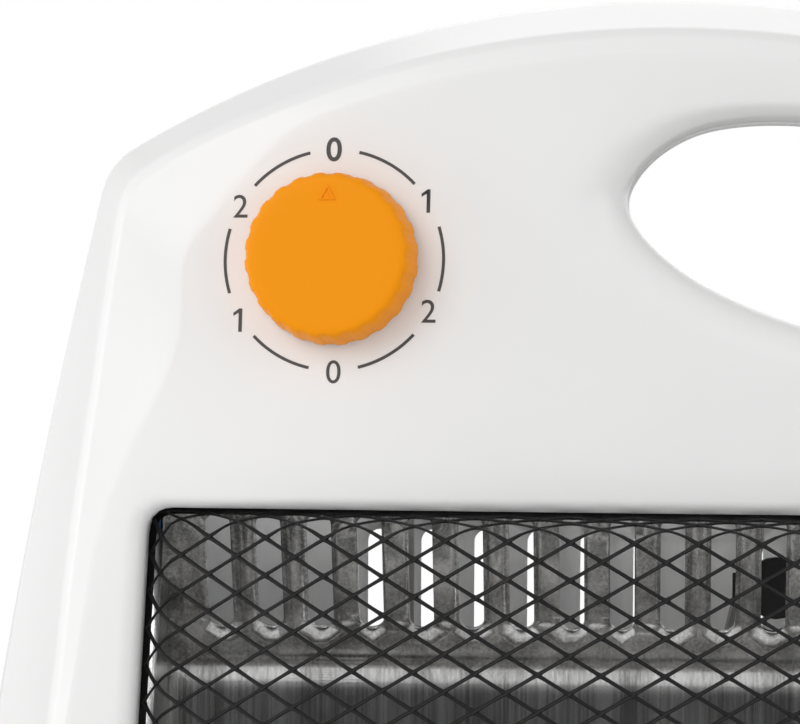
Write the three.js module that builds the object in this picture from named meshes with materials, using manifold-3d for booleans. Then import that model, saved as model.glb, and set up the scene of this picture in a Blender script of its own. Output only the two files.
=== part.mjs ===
// Electric bar heater: a moulded casing in two halves with an arched top and a carrying hole,
// a rotary selector, a bowed diamond-mesh guard, a slotted reflector and two quartz bars.
// Millimetres, +Z up, the front faces -Y. Depths are counted from the plane Y = 0 where the
// casing halves meet; the finished group is then moved so that its box is centred in depth.
import * as THREE from 'three';
import { mergeVertices } from 'three/addons/utils/BufferGeometryUtils.js';
import Module from 'manifold-3d';

const wasm = await Module();
wasm.setup();

// ---- Casing outline, seen from the front ----
const casingHalfWidth = 155;
const casingTop = 347.2;
const casingBottom = 8;
const archRadius = 215.5;
const archOffset = -5; // crest of the arch, left of the middle
const shoulderLeft = 121.7; // half widths at the two top corners
const shoulderRight = 123.7;
const shoulderRound = 6;
const sideLean = 0.2275; // run out for each millimetre down, at the top of a side
const sideStraight = 57; // below this height the sides stand upright
const sidePull = 84; // how far each end of a side keeps its direction
const footRound = 16; // bottom corners of the outline
const outlineStep = 48; // longest step along an outline

// ---- Casing depth ----
const frontDepth = 66; // front face, at floor level, from the seam plane
const frontLean = 5; // degrees that the front leans back
const frontBow = 600; // radius of the front across its width
const rearDepth = 54.5;
const rearBend = 150; // height above which the back curves forward
const rearDrawIn = 33; // how far it has come forward at the top
const rearBow = 700;
const wall = 2.5;
const seam = 0.3; // gap between the halves
const fit = 0.3; // clearance between pieces that fit together
const bottomDraft = 0.3; // share of the draft that the underside gets
const topDraft = 0.55; // the same for the top

// Rim of each half: how far in from the outline, how far back from its face
const frontRim = [[8.5, 14], [12, 5.5], [19, 0]];
const rearRim = [[6, 20], [12, 7], [20, 0]];

// ---- Carrying hole: left end, top, right end, bottom; across, and down from the crest ----
const holePoints = [
  [-15, 42.7], [-13, 35.6], [-6, 29.2], [4, 25.5], [20, 24.7], [42, 27.6], [62, 34.1], [76, 43.1],
  [80, 54.2], [74, 63.7], [58, 68.8], [38, 69.8], [20, 66.5], [2, 59.4], [-9.6, 51.2],
];
const holeRim = 7.6; // width of the rounded rim
const holeRimLeft = 3.1; // more of it on the left
const holeRimTop = -4.4; // less of it at the top
const holeRimDepth = 9;
const holeRearRim = 6;

// ---- Radiant window and the guard in it ----
const windowTop = casingTop - 104.3;
const windowBottom = 52;
const windowHalfTop = 109.8;
const windowHalfBottom = 118.5;
const windowRound = 5.4;
const windowRim = 3.6;
const windowDepth = 12; // depth of the lip behind the face
const guardClearance = 0.6;
const guardProud = 13; // how far the guard stands out of the face in the middle
const guardBow = 240;
const guardSideRound = 4.5; // seen width of its turned-back side
const guardEndRound = 2.6; // the same at top and bottom
const guardColumns = 6;
const guardRows = 8;
const guardStrand = 1.3;
const guardSheet = 0.8;
const guardFlange = 5.5;
const guardFlangeLap = 2; // how far the flange reaches in behind the lattice's edge
const guardSideHeight = 12; // length of the sheet in a turned side
const guardEndHeight = 18;

// ---- Reflector ----
const sheet = 0.8;
const reflectorFrontTop = windowTop + 4.1; // heights of the bends of its section
const reflectorBendTop = windowTop - 33.4;
const reflectorBendBottom = windowBottom + 36;
const reflectorFrontBottom = windowBottom - 3.5;
const reflectorBack = 14; // its back panel, behind the seam plane
const reflectorShort = 1.6; // its front edges behind the end panels' edges
const reflectorInset = 2; // end panels inside the window's sides
const slotCount = 20;
const slotPitch = 10.3;
const slotWidth = 5;
const slotTop = windowTop - 1.5;
const slotBottom = slotTop - 23.6;
const lowerSlotBottom = windowBottom + 6;
const lowerSlotTop = lowerSlotBottom + 21;
const tabHalfWidth = 7.5; // upright tab that carries the thermal cut-out
const tabTop = windowTop - 8.1;
const flangeReach = 14.5; // flange of an end panel, out from the window's side
const flangeTop = windowTop - 4.9;
const flangeBottom = windowBottom + 6;

// ---- Quartz bars ----
const tubeHeights = [windowTop - 60.9, windowBottom + 60];
const tubeDepth = -6;
const tubeRadius = 6;
const tubeWall = 1.4;
const capRadius = 8.5;
const capNeck = 7.2;
const capNeckLength = 3;
const capLength = 14;
const capGap = 0.7; // its shoulder's clearance to the slanting end panel
const capSeat = 10.5; // how far the bar reaches past the end panel
const leadBore = 1.2;
const coilRadius = 3.1;
const coilWire = 0.5;
const coilCurls = 8;
const coilShort = 6; // where the curls end, inside the end panels
const leadTail = 3; // bare end of a coil outside its cap

// ---- Selector ----
const dialX = -73.5;
const dialZ = casingTop - 54.3;
const knobRadius = 17.4;
const knobFace = 16.6;
const knobHeight = 9.2;
const knobStandOff = 0.8;
const knobFlutes = 24;
const fluteDepth = 0.45;
const pointerSize = 3.2;
const pointerAt = 12.4;
const pointerRaise = 0.35;
const spindleRadius = 3;
const spindleBush = 5.5;
const spindleInKnob = 6.6;
const spindleInSwitch = 8;
const padDepth = 5; // flat pad behind the dial, below the face
const padRadius = 18;
const switchSize = 29;
const switchDepth = 18;
const switchBladeLength = 7;
const switchScrewAt = 11.2;
const switchScrewLength = 8.5;

// ---- Screws ----
const screwRadius = 1.5;
const screwHead = 3;
const screwHeadHeight = 1.8;
const bossRadius = 4.4;
const postRadius = 3.6;
const postShort = 1.2; // clear of the flange, which slants across the post's end
const casingScrewLength = 22;
const casingScrewSeat = 8; // seat of the head behind the seam plane
const casingScrewX = casingHalfWidth - 29;
const casingScrews = [
  [-108, casingTop - 66.2], [107, casingTop - 71.2], [-casingScrewX, windowBottom + 96],
  [casingScrewX, windowBottom + 96], [-casingScrewX, windowBottom - 21], [casingScrewX, windowBottom - 21],
];
const panelScrewHeights = [windowTop - 14.9, windowBottom + 16];
const panelScrewLength = 9;
const panelScrewLift = 0.9; // clear of the flange, which slants under the head

// ---- Base, feet and tip-over switch ----
const footHeight = 3.1;
const footRadius = 9;
const footX = casingHalfWidth - 33;
const footFront = -37;
const footRear = 28;
const plateThick = 4.2;
const plateMargin = 11;
const plateRound = 20;
const plateFront = -50;
const plateRear = 40;
const baseScrewX = casingHalfWidth - 57;
const baseScrewFront = -30;
const baseScrewRear = 24;
const baseBossTop = 20;
const baseScrewLength = 9;
const tipX = 0;
const tipY = 22;
const tipBody = [24, 15, 24];
const plungerRadius = 3;
const plungerHead = 4.2;
const plungerHeadAt = 14.4;
const plungerHeadHeight = 4;
const tipBoreTop = 28;
const tipCurls = 4;
const tipWire = 0.4;
const tipSpringRadius = 2.9;

// ---- Electrical fittings ----
const vents = { count: 13, pitch: 11.2, width: 5, top: windowTop - 4.9, bottom: windowTop - 27.9 };
const lowVents = { count: 9, pitch: 11.2, width: 5, top: windowBottom + 40, bottom: windowBottom + 14 };
const glandX = -92;
const glandZ = 36;
const glandRadius = 5.4;
const glandFlange = 8;
const glandBore = 3.3;
const blockSize = [32, 12, 10];
const blockX = -58;
const blockY = 18.5;
const cutoutRadius = 6.4;
const cutoutThick = 5.5;
const cutoutX = 16;
const cutoutZ = windowTop - 15.9;
const leadRadius = 1.1;
const leadEdge = casingHalfWidth - 17; // the leads' way down beside the bars' ends

// ---- Materials ----
const finish = (color, roughness, metalness = 0) =>
  new THREE.MeshStandardMaterial({ color, roughness, metalness });
const whiteShell = () => finish(0xededed, 0.4);
const orangePlastic = () => finish(0xff9a01, 0.35);
const blackSteel = () => finish(0x101010, 0.45, 0.3);
const brightSheet = () => finish(0xc9c9c9, 0.2, 1);
const quartz = () => finish(0xe6e2dc, 0.25);
const ceramic = () => finish(0xe9e4d8, 0.6);
const nichrome = () => finish(0x8d8780, 0.45, 1);
const zincSteel = () => finish(0xb4b6b8, 0.35, 1);
const blackPlastic = () => finish(0x1b1b1b, 0.5);
const greyPlastic = () => finish(0x8a8a88, 0.5);
const rubber = () => finish(0x202020, 0.85);
const leadColours = [0x7a4a2b, 0x2d5fa8, 0xb9b9b9, 0xa8a29a, 0x7a4a2b];

// ---- Worked out from the sizes above ----
const flangeSetback = windowDepth + fit + guardSheet + fit;
const plateBottom = footHeight + fit;
const plateTop = plateBottom + plateThick;
const baseScrews = [baseScrewFront, baseScrewRear].flatMap((y) => [[-baseScrewX, y], [baseScrewX, y]]);

// ================= Solids =================

/** Position-only triangles with shared corners and no slivers, turned to face out. */
function solid(geometry) {
  const bare = new THREE.BufferGeometry();
  bare.setAttribute('position', geometry.getAttribute('position').clone());
  bare.setIndex(geometry.index);
  const merged = mergeVertices(bare, 1e-4);
  const corners = merged.getAttribute('position').array;
  const index = merged.index.array;
  const faces = [];
  for (let i = 0; i < index.length; i += 3) {
    const [a, b, c] = index.slice(i, i + 3);
    if (a !== b && b !== c && c !== a) faces.push(a, b, c);
  }
  if (signedVolume(corners, faces) < 0) faces.reverse();
  const vertProperties = new Float32Array(corners);
  const triVerts = new Uint32Array(faces);
  return new wasm.Manifold(new wasm.Mesh({ numProp: 3, vertProperties, triVerts }));
}

/** Six times the volume that the faces enclose, negative where they face inwards. */
function signedVolume(corners, faces) {
  const at = (i) => new THREE.Vector3().fromArray(corners, faces[i] * 3);
  let sum = 0;
  for (let i = 0; i < faces.length; i += 3) sum += at(i).dot(at(i + 1).cross(at(i + 2)));
  return sum;
}

/** The geometry of a joined or cut solid. */
function geometryOf(manifold) {
  const { vertProperties, triVerts } = manifold.getMesh();
  const geometry = new THREE.BufferGeometry();
  geometry.setAttribute('position', new THREE.BufferAttribute(vertProperties, 3));
  geometry.setIndex(new THREE.BufferAttribute(triVerts, 1));
  geometry.computeVertexNormals();
  return geometry;
}

const join = (first, ...rest) => rest.reduce((whole, part) => whole.add(part), first);
const cut = (first, ...rest) => rest.reduce((whole, part) => whole.subtract(part), first);

/** A named piece, from a solid. */
function piece(name, manifold, material) {
  const mesh = new THREE.Mesh(geometryOf(manifold), material);
  mesh.name = name;
  return mesh;
}

/** A closed body through rings of equally many points: its last ring meets the first again, or
 * each end is closed by a fan. */
function skin(rings, endless = false) {
  const count = rings[0].length;
  const points = rings.flat();
  const index = [];
  const bands = endless ? rings.length : rings.length - 1;
  for (let r = 0; r < bands; r++) {
    const next = (r + 1) % rings.length;
    for (let i = 0; i < count; i++) {
      const j = (i + 1) % count;
      const [a, b, c, d] = [r * count + i, r * count + j, next * count + j, next * count + i];
      index.push(a, b, c, a, c, d);
    }
  }
  const ends = endless ? [] : [[0, true], [(rings.length - 1) * count, false]];
  for (const [start, flip] of ends) {
    const ring = points.slice(start, start + count);
    const middle = ring.reduce((sum, p) => sum.add(p), new THREE.Vector3()).divideScalar(count);
    const hub = points.push(middle) - 1;
    for (let i = 0; i < count; i++) {
      const a = start + i;
      const b = start + ((i + 1) % count);
      index.push(...(flip ? [b, a, hub] : [a, b, hub]));
    }
  }
  const geometry = new THREE.BufferGeometry().setFromPoints(points);
  geometry.setIndex(index);
  return geometry;
}

/** An outline in X and Z carried along Y from one depth to another. */
function slab(shape, from, to) {
  const depth = to - from;
  const geometry = new THREE.ExtrudeGeometry(shape, { depth, bevelEnabled: false, curveSegments: 6 });
  return geometry.rotateX(Math.PI / 2).translate(0, to, 0);
}

/** A turned body about +Z from its (radius, height) profile. */
function turned(profile, segments = 16) {
  const points = profile.map(([r, h]) => new THREE.Vector2(r, h));
  return new THREE.LatheGeometry(points, segments).rotateX(Math.PI / 2);
}

/** A round bar about +Z between two heights. */
const bar = (radius, from, to, segments = 16) =>
  turned([[0, from], [radius, from], [radius, to], [0, to]], segments);

/** A round bar about Y between two depths. */
const deepBar = (radius, x, z, from, to, segments = 12) =>
  bar(radius, -to, -from, segments).rotateX(Math.PI / 2).translate(x, 0, z);

const block = (x, y, z, cx, cy, cz) => new THREE.BoxGeometry(x, y, z).translate(cx, cy, cz);

/** A tube of the given radius along a curve. */
function wire(curve, radius, steps, sides) {
  const section = new THREE.Shape();
  for (let i = 0; i < sides; i++) {
    const turn = (i / sides) * Math.PI * 2;
    const [x, y] = [radius * Math.cos(turn), radius * Math.sin(turn)];
    if (i) section.lineTo(x, y);
    else section.moveTo(x, y);
  }
  return new THREE.ExtrudeGeometry(section, { steps, extrudePath: curve, bevelEnabled: false });
}

// ================= Surfaces =================

const bow = (radius, x) => radius - Math.sqrt(radius * radius - x * x);
const leanSlope = Math.tan(THREE.MathUtils.degToRad(frontLean));

/** Depth of the front face before the seam plane. */
const faceAt = (x, z) => frontDepth - z * leanSlope - bow(frontBow, x);

/** Depth of the rear face behind the seam plane. */
function backAt(x, z) {
  const above = Math.max(0, z - rearBend) / (casingTop - rearBend);
  return rearDepth - rearDrawIn * above * above - bow(rearBow, x);
}

const windowHalf = (z) =>
  windowHalfBottom + ((windowHalfTop - windowHalfBottom) * (z - windowBottom)) / (windowTop - windowBottom);

/** Points along a path, closer together on its short curves, without the repeated last one. */
function sampled(path) {
  const points = [];
  for (const curve of path.curves) {
    const fewest = curve.isLineCurve ? 1 : 3;
    const count = Math.max(fewest, Math.ceil(curve.getLength() / outlineStep));
    for (let i = 0; i < count; i++) points.push(curve.getPointAt(i / count));
  }
  return points;
}

/** Outward normals of a closed outline that runs anticlockwise. */
function normals(points) {
  return points.map((_, i) => {
    const before = points[(i + points.length - 1) % points.length];
    const after = points[(i + 1) % points.length];
    const along = after.clone().sub(before).normalize();
    return new THREE.Vector2(along.y, -along.x);
  });
}

/** The casing's outline where its halves meet. */
function casingOutline() {
  const hub = new THREE.Vector2(archOffset, casingTop - archRadius);
  const onArch = (x) => new THREE.Vector2(x, hub.y + Math.sqrt(archRadius ** 2 - (x - hub.x) ** 2));
  const turnBy = shoulderRound / archRadius;
  const upward = new THREE.Vector2(-sideLean, 1).normalize();
  const right = onArch(shoulderRight);
  const left = onArch(-shoulderLeft);
  const rightTurn = Math.atan2(right.y - hub.y, right.x - hub.x) + turnBy;
  const leftTurn = Math.atan2(left.y - hub.y, left.x - hub.x) - turnBy;
  const rightEnd = right.clone().addScaledVector(upward, -shoulderRound);
  const leftEnd = new THREE.Vector2(left.x + upward.x * shoulderRound, left.y - upward.y * shoulderRound);
  const w = casingHalfWidth;
  const shape = new THREE.Shape();
  shape.moveTo(0, casingBottom);
  shape.lineTo(w - footRound, casingBottom);
  shape.absarc(w - footRound, casingBottom + footRound, footRound, -Math.PI / 2, 0);
  shape.lineTo(w, sideStraight);
  shape.bezierCurveTo(w, sideStraight + sidePull, rightEnd.x + sideLean * sidePull,
    rightEnd.y - sidePull, rightEnd.x, rightEnd.y);
  const arch = new THREE.Vector2(Math.cos(rightTurn), Math.sin(rightTurn));
  arch.multiplyScalar(archRadius).add(hub);
  shape.quadraticCurveTo(right.x, right.y, arch.x, arch.y);
  shape.absarc(hub.x, hub.y, archRadius, rightTurn, leftTurn);
  shape.quadraticCurveTo(left.x, left.y, leftEnd.x, leftEnd.y);
  shape.bezierCurveTo(leftEnd.x - sideLean * sidePull, leftEnd.y - sidePull,
    -w, sideStraight + sidePull, -w, sideStraight);
  shape.lineTo(-w, casingBottom + footRound);
  shape.absarc(-w + footRound, casingBottom + footRound, footRound, Math.PI, 1.5 * Math.PI);
  shape.lineTo(0, casingBottom);
  return sampled(shape);
}

const outline = casingOutline();
const outlineNormals = normals(outline);
const hubZ = (casingTop + casingBottom) / 2;

/** The outline drawn in, towards the middle, by a wall and by a draft that is less underneath. */
function drawnIn(draft, thick = 0) {
  return outline.map((p, i) => {
    const n = outlineNormals[i];
    const inward = new THREE.Vector2(-p.x, hubZ - p.y).normalize();
    const share = 1 - Math.abs(n.y) * (1 - (n.y < 0 ? bottomDraft : topDraft));
    const amount = draft * share + thick;
    return p.clone().addScaledVector(inward, amount / Math.max(0.5, -n.dot(inward)));
  });
}

/** One half's outer or inner body: a rim of (inset, setback) steps, then rings over the face. */
function halfBody(rim, depthAt, side, thick) {
  const at = (p, setback) => new THREE.Vector3(p.x, side * (depthAt(p.x, p.y) - setback), p.y);
  const past = thick ? -side * wall : 0;
  const rings = [drawnIn(0, thick).map((p) => new THREE.Vector3(p.x, past, p.y))];
  for (const [inset, setback] of rim) {
    rings.push(drawnIn(inset, thick).map((p) => at(p, setback + thick)));
  }
  const edge = drawnIn(rim[rim.length - 1][0], thick);
  for (const share of [0.52]) {
    rings.push(edge.map((p) => at(new THREE.Vector2(p.x * share, hubZ + (p.y - hubZ) * share), thick)));
  }
  return skin(rings);
}

/** A closed outline grown outwards, by one amount or by one for each normal. */
const grown = (points, amount) => {
  const facing = normals(points);
  const by = typeof amount === 'number' ? () => amount : amount;
  return points.map((p, i) => p.clone().addScaledVector(facing[i], by(facing[i])));
};

/**
 * A funnel through a face: the outline with a quarter-round rim that opens to the face, grown
 * by `thick` all round. `side` is -1 for the front half and +1 for the rear half. It starts at
 * the setback `from` and ends at the setback `to`, or at the depth `end` from the seam plane.
 * With an `inset` it is a sleeve whose inside lies that far within the outline.
 */
function funnel(points, depthAt, side, { width, rimDepth, thick = 0, from, to, end, inset }) {
  const rimOf = typeof width === 'number' ? () => width : width;
  const place = (drawn, setback) =>
    drawn.map((p) => new THREE.Vector3(p.x, side * (depthAt(p.x, p.y) - setback), p.y));
  const rings = [place(grown(points, (n) => rimOf(n) + thick), from)];
  for (const turn of [0, 45, 90]) {
    const angle = THREE.MathUtils.degToRad(turn);
    const share = 1 - Math.sin(angle);
    const setback = rimDepth * (1 - Math.cos(angle)) + thick * 0.6;
    rings.push(place(grown(points, (n) => rimOf(n) * share + thick), setback));
  }
  const last = grown(points, thick);
  if (end !== undefined) return skin([...rings, last.map((p) => new THREE.Vector3(p.x, end, p.y))]);
  if (!inset) return skin([...rings, place(last, to)]);
  const inside = grown(points, -inset);
  return skin([...rings, place(last, to), place(inside, to), place(inside, from)], true);
}

// ================= Casing =================

function holeOutline() {
  const corners = [...holePoints, holePoints[0]].map(([x, down]) => new THREE.Vector2(x, casingTop - down));
  const points = new THREE.SplineCurve(corners).getPoints(20).slice(0, -1);
  return THREE.ShapeUtils.area(points) < 0 ? points.reverse() : points;
}

const holeRimWidth = (n) => holeRim + holeRimLeft * Math.max(0, -n.x) + holeRimTop * Math.max(0, n.y);

function windowOutline() {
  const corner = (x, z) => new THREE.Vector2(x, z);
  const corners = [corner(-windowHalfBottom, windowBottom), corner(windowHalfBottom, windowBottom),
    corner(windowHalfTop, windowTop), corner(-windowHalfTop, windowTop)];
  const shape = new THREE.Shape();
  corners.forEach((c, i) => {
    const before = corners[(i + 3) % 4].clone().sub(c).setLength(windowRound).add(c);
    const after = corners[(i + 1) % 4].clone().sub(c).setLength(windowRound).add(c);
    if (i) shape.lineTo(before.x, before.y);
    else shape.moveTo(before.x, before.y);
    shape.quadraticCurveTo(c.x, c.y, after.x, after.y);
  });
  shape.closePath();
  return sampled(shape);
}

/** The dial's own axes: +Z out of the face, +Y up it. */
function dialFrame() {
  const step = 0.5;
  const acrossX = (faceAt(dialX + step, dialZ) - faceAt(dialX - step, dialZ)) / (2 * step);
  const acrossZ = (faceAt(dialX, dialZ + step) - faceAt(dialX, dialZ - step)) / (2 * step);
  const out = new THREE.Vector3(-acrossX, -1, -acrossZ).normalize();
  const right = new THREE.Vector3(0, 0, 1).cross(out).normalize();
  const up = out.clone().cross(right);
  const frame = new THREE.Matrix4().makeBasis(right, up, out);
  return frame.setPosition(dialX, -faceAt(dialX, dialZ), dialZ);
}

const dial = dialFrame();
const onDial = (geometry) => geometry.applyMatrix4(dial);
const switchScrews = [[-switchScrewAt, 0], [switchScrewAt, 0]];

function dialSeat() {
  const pad = solid(onDial(bar(padRadius, -padDepth, 0)));
  const bore = solid(onDial(bar(spindleBush + fit, -padDepth - 1, 2)));
  const holes = switchScrews.map(([x, y]) =>
    solid(onDial(bar(screwRadius + fit, -padDepth - 1, 2, 10).translate(x, y, 0))));
  const sinks = switchScrews.map(([x, y]) =>
    solid(onDial(bar(screwHead + fit, -screwHeadHeight - fit, 2, 10).translate(x, y, 0))));
  return { pad, tools: [bore, ...holes, ...sinks] };
}

const panelScrews = panelScrewHeights.flatMap((z) =>
  [-1, 1].map((side) => [side * (windowHalf(z) + 10.2), z]));

/** Upright bosses in a half's underside, and the bores in them, for the base screws. */
const baseBosses = (y) => [-1, 1].map((side) =>
  solid(bar(bossRadius, casingBottom + 0.5, baseBossTop, 8).translate(side * baseScrewX, y, 0)));
const baseBores = (y) => [-1, 1].map((side) =>
  solid(bar(screwRadius + fit, casingBottom - 1, baseBossTop - 1.5, 8).translate(side * baseScrewX, y, 0)));

/** A casing half trimmed to its own side of the seam plane. */
const seamCutter = (side) => solid(block(400, 20, 800, 0, -side * (10 - seam / 2), 100));

function frontShell(hole, opening) {
  const outer = solid(halfBody(frontRim, faceAt, -1, 0));
  const inner = solid(halfBody(frontRim, faceAt, -1, wall));
  const holeShape = { width: holeRimWidth, rimDepth: holeRimDepth };
  const windowShape = { width: windowRim, rimDepth: windowDepth / 2 };
  const cores = [
    funnel(hole, faceAt, -1, { ...holeShape, thick: wall, from: 0.3, end: 0 }),
    funnel(opening, faceAt, -1, { ...windowShape, thick: wall, from: 0.3, to: windowDepth, inset: 1 }),
  ].map(solid);
  const tools = [
    funnel(hole, faceAt, -1, { ...holeShape, from: -6, end: wall }),
    funnel(opening, faceAt, -1, { ...windowShape, from: -20, to: windowDepth + 4 }),
  ].map(solid);
  const bosses = casingScrews.map(([x, z]) => solid(deepBar(bossRadius, x, z, -faceAt(x, z), 0, 8)));
  const bores = casingScrews.map(([x, z]) =>
    solid(deepBar(screwRadius + fit, x, z, casingScrewSeat - casingScrewLength - 1, 1, 8)));
  const posts = panelScrews.map(([x, z]) =>
    solid(deepBar(postRadius, x, z, -faceAt(x, z), flangeSetback - postShort - faceAt(x, z), 8)));
  const postBores = panelScrews.map(([x, z]) =>
    solid(deepBar(screwRadius + fit, x, z, wall + 1.5 - faceAt(x, z), 20 - faceAt(x, z), 8)));
  const seat = dialSeat();
  const inside = join(...cores, ...bosses, ...posts, seat.pad, ...baseBosses(baseScrewFront));
  const whole = join(cut(outer, inner), inside.intersect(outer));
  return cut(whole, ...tools, ...bores, ...postBores, ...seat.tools, ...baseBores(baseScrewFront),
    seamCutter(-1));
}

/** Upright slots in a row, as outlines in X and Z. */
function slotRow({ count, pitch, width, top, bottom }) {
  const shapes = [];
  for (let i = 0; i < count; i++) {
    const x = (i - (count - 1) / 2) * pitch;
    const r = width / 2;
    const shape = new THREE.Shape();
    shape.setFromPoints([
      [x + r, bottom + r * 0.8], [x + r, top - r * 0.8], [x, top],
      [x - r, top - r * 0.8], [x - r, bottom + r * 0.8], [x, bottom],
    ].map(([px, pz]) => new THREE.Vector2(px, pz)));
    shapes.push(shape);
  }
  return shapes;
}

function rearFrame(x, z) {
  const step = 0.5;
  const acrossX = (backAt(x + step, z) - backAt(x - step, z)) / (2 * step);
  const acrossZ = (backAt(x, z + step) - backAt(x, z - step)) / (2 * step);
  const out = new THREE.Vector3(-acrossX, 1, -acrossZ).normalize();
  const right = new THREE.Vector3(0, 0, 1).cross(out).normalize();
  const up = out.clone().cross(right);
  return new THREE.Matrix4().makeBasis(right, up, out).setPosition(x, backAt(x, z), z);
}

const gland = rearFrame(glandX, glandZ);

function rearShell(hole) {
  const outer = solid(halfBody(rearRim, backAt, 1, 0));
  const inner = solid(halfBody(rearRim, backAt, 1, wall));
  const holeShape = { width: holeRearRim, rimDepth: holeRearRim };
  const core = solid(funnel(hole, backAt, 1, { ...holeShape, thick: wall, from: 0.3, end: 0 }));
  const tool = solid(funnel(hole, backAt, 1, { ...holeShape, from: -6, end: -wall }));
  const bosses = casingScrews.map(([x, z]) =>
    solid(deepBar(bossRadius + 1.4, x, z, 0, backAt(x, z) + wall, 10)));
  const bores = casingScrews.map(([x, z]) => solid(deepBar(screwRadius + fit, x, z, -1, 20, 8)));
  const sinks = casingScrews.map(([x, z]) =>
    solid(deepBar(screwHead + 2 * fit, x, z, casingScrewSeat, rearDepth + 5, 8)));
  const slots = [vents, lowVents].flatMap(slotRow).map((shape) => solid(slab(shape, 25, 90)));
  const inlet = solid(bar(glandRadius + fit, -12, 6).applyMatrix4(gland));
  const [tipWide, tipDeep] = tipBody;
  const tipGap = solid(block(tipWide + 2, tipDeep + 2, 20, tipX, tipY, casingBottom));
  const inside = join(core, ...bosses, ...baseBosses(baseScrewRear)).intersect(outer);
  const whole = join(cut(outer, inner), inside);
  return cut(whole, tool, ...bores, ...sinks, ...slots, inlet, tipGap, ...baseBores(baseScrewRear),
    seamCutter(1));
}

// ================= Guard =================

/** 0 at the edge and 1 past the rounded border, as a quarter ellipse. */
function riseOver(distance, round) {
  const left = Math.min(1, Math.max(0, 1 - distance / round));
  return Math.sqrt(1 - left * left);
}

/** How far a rounded corner comes in from the side, `along` from the end. */
function cornerInset(along, round) {
  const left = Math.max(0, round - along);
  return round - Math.sqrt(round * round - left * left);
}

/** A point of the guard for shares u, v of its width and height, so far in from its outside. */
function guardPoint(u, v, inward) {
  const margin = guardClearance + inward;
  const bottom = windowBottom + margin;
  const top = windowTop - margin;
  const z = bottom + (top - bottom) * v;
  const along = Math.min(z - bottom, top - z);
  const half = windowHalf(z) - margin - cornerInset(along, windowRound - guardClearance);
  const x = half * (2 * u - 1);
  const rise = riseOver(half - Math.abs(x), guardSideRound) * riseOver(along, guardEndRound);
  const base = faceAt(x, z) - windowDepth - fit;
  const crown = faceAt(0, z) + guardProud - bow(guardBow, x);
  return new THREE.Vector3(x, inward - base - (crown - base) * rise, z);
}

/**
 * Where a share of the unfolded sheet lies, as a share of the span: the sheet climbs its turned
 * edge, `height` long and `round` wide as seen from the front, then crosses the span evenly.
 */
function stationOf(share, span, round, height) {
  if (share > 0.5) return 1 - stationOf(1 - share, span, round, height);
  const edge = height / (span + 2 * height);
  const rim = round / span;
  if (share < edge) return rim * (1 - Math.cos((share / edge) * Math.PI * 0.5));
  return rim + ((share - edge) / (0.5 - edge)) * (0.5 - rim);
}

/** The guard's flat flange, which lies behind the window's lip. */
function guardFlangeRing(opening) {
  const near = windowDepth + fit;
  const corners = [[-guardFlangeLap, near], [guardFlange, near], [guardFlange, near + guardSheet],
    [-guardFlangeLap, near + guardSheet]];
  const rings = corners.map(([out, setback]) => grown(opening, out).map((p) =>
    new THREE.Vector3(p.x, setback - faceAt(p.x, p.y), p.y)));
  return skin(rings, true);
}

/** The guard's strands, one across each cell of a grid, from knot to knot: corners and faces. */
function strands(acrossCells, upCells, reach) {
  const [rx, rz] = reach;
  const rising = [[0, 0], [1 - rx, 0], [1, rz], [1, 1], [rx, 1], [0, 1 - rz]];
  const falling = rising.map(([x, z]) => [1 - x, z]).reverse();
  const corners = [];
  const known = new Map();
  const indexOf = (x, z) => {
    const key = `${x.toFixed(4)} ${z.toFixed(4)}`;
    if (!known.has(key)) known.set(key, corners.push([x, z]) - 1);
    return known.get(key);
  };
  const faces = [];
  for (let i = 0; i < acrossCells; i++) {
    for (let j = 0; j < upCells; j++) {
      const strand = (i + j) % 2 ? falling : rising;
      const [a, b, c, d, e, f] = strand.map(([x, z]) => indexOf(i + x, j + z));
      if ((i + j) % 2) faces.push([f, a, e], [a, b, d], [a, d, e], [b, c, d]);
      else faces.push([a, b, f], [b, c, e], [b, e, f], [c, d, e]);
    }
  }
  return { corners, faces };
}

/** A closed sheet from flat faces: both its sides, and a wall along each edge of one face only. */
function closedSheet({ corners, faces }, place) {
  const count = corners.length;
  const points = [0, guardSheet].flatMap((inward) => corners.map(([i, j]) => place(i, j, inward)));
  const index = faces.flatMap(([a, b, c]) => [a, b, c, count + c, count + b, count + a]);
  const edges = faces.flatMap(([a, b, c]) => [[a, b], [b, c], [c, a]]);
  const known = new Set(edges.map(([a, b]) => `${a} ${b}`));
  for (const [a, b] of edges) {
    if (known.has(`${b} ${a}`)) continue;
    index.push(b, a, count + a, b, count + a, count + b);
  }
  const geometry = new THREE.BufferGeometry().setFromPoints(points);
  geometry.setIndex(index);
  return geometry;
}

/** The guard: a diamond lattice whose edges turn back to a solid flange behind the lip. */
function guardMesh(opening) {
  const acrossCells = 2 * guardColumns;
  const upCells = 2 * guardRows;
  const spanX = 2 * windowHalf((windowTop + windowBottom) / 2);
  const spanZ = windowTop - windowBottom;
  const cell = [spanX / acrossCells, spanZ / upCells];
  const slant = Math.atan2(cell[1], cell[0]);
  const halfStrand = [guardStrand / 2 / Math.sin(slant), guardStrand / 2 / Math.cos(slant)];
  const reach = halfStrand.map((half, k) => 1 - half / cell[k]);
  const place = (i, j, inward) => {
    const u = stationOf(i / acrossCells, spanX, guardSideRound, guardSideHeight);
    const v = stationOf(j / upCells, spanZ, guardEndRound, guardEndHeight);
    return guardPoint(u, v, inward);
  };
  const lattice = closedSheet(strands(acrossCells, upCells, reach), place);
  return join(solid(lattice), solid(guardFlangeRing(opening)));
}

// ================= Reflector =================

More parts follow.
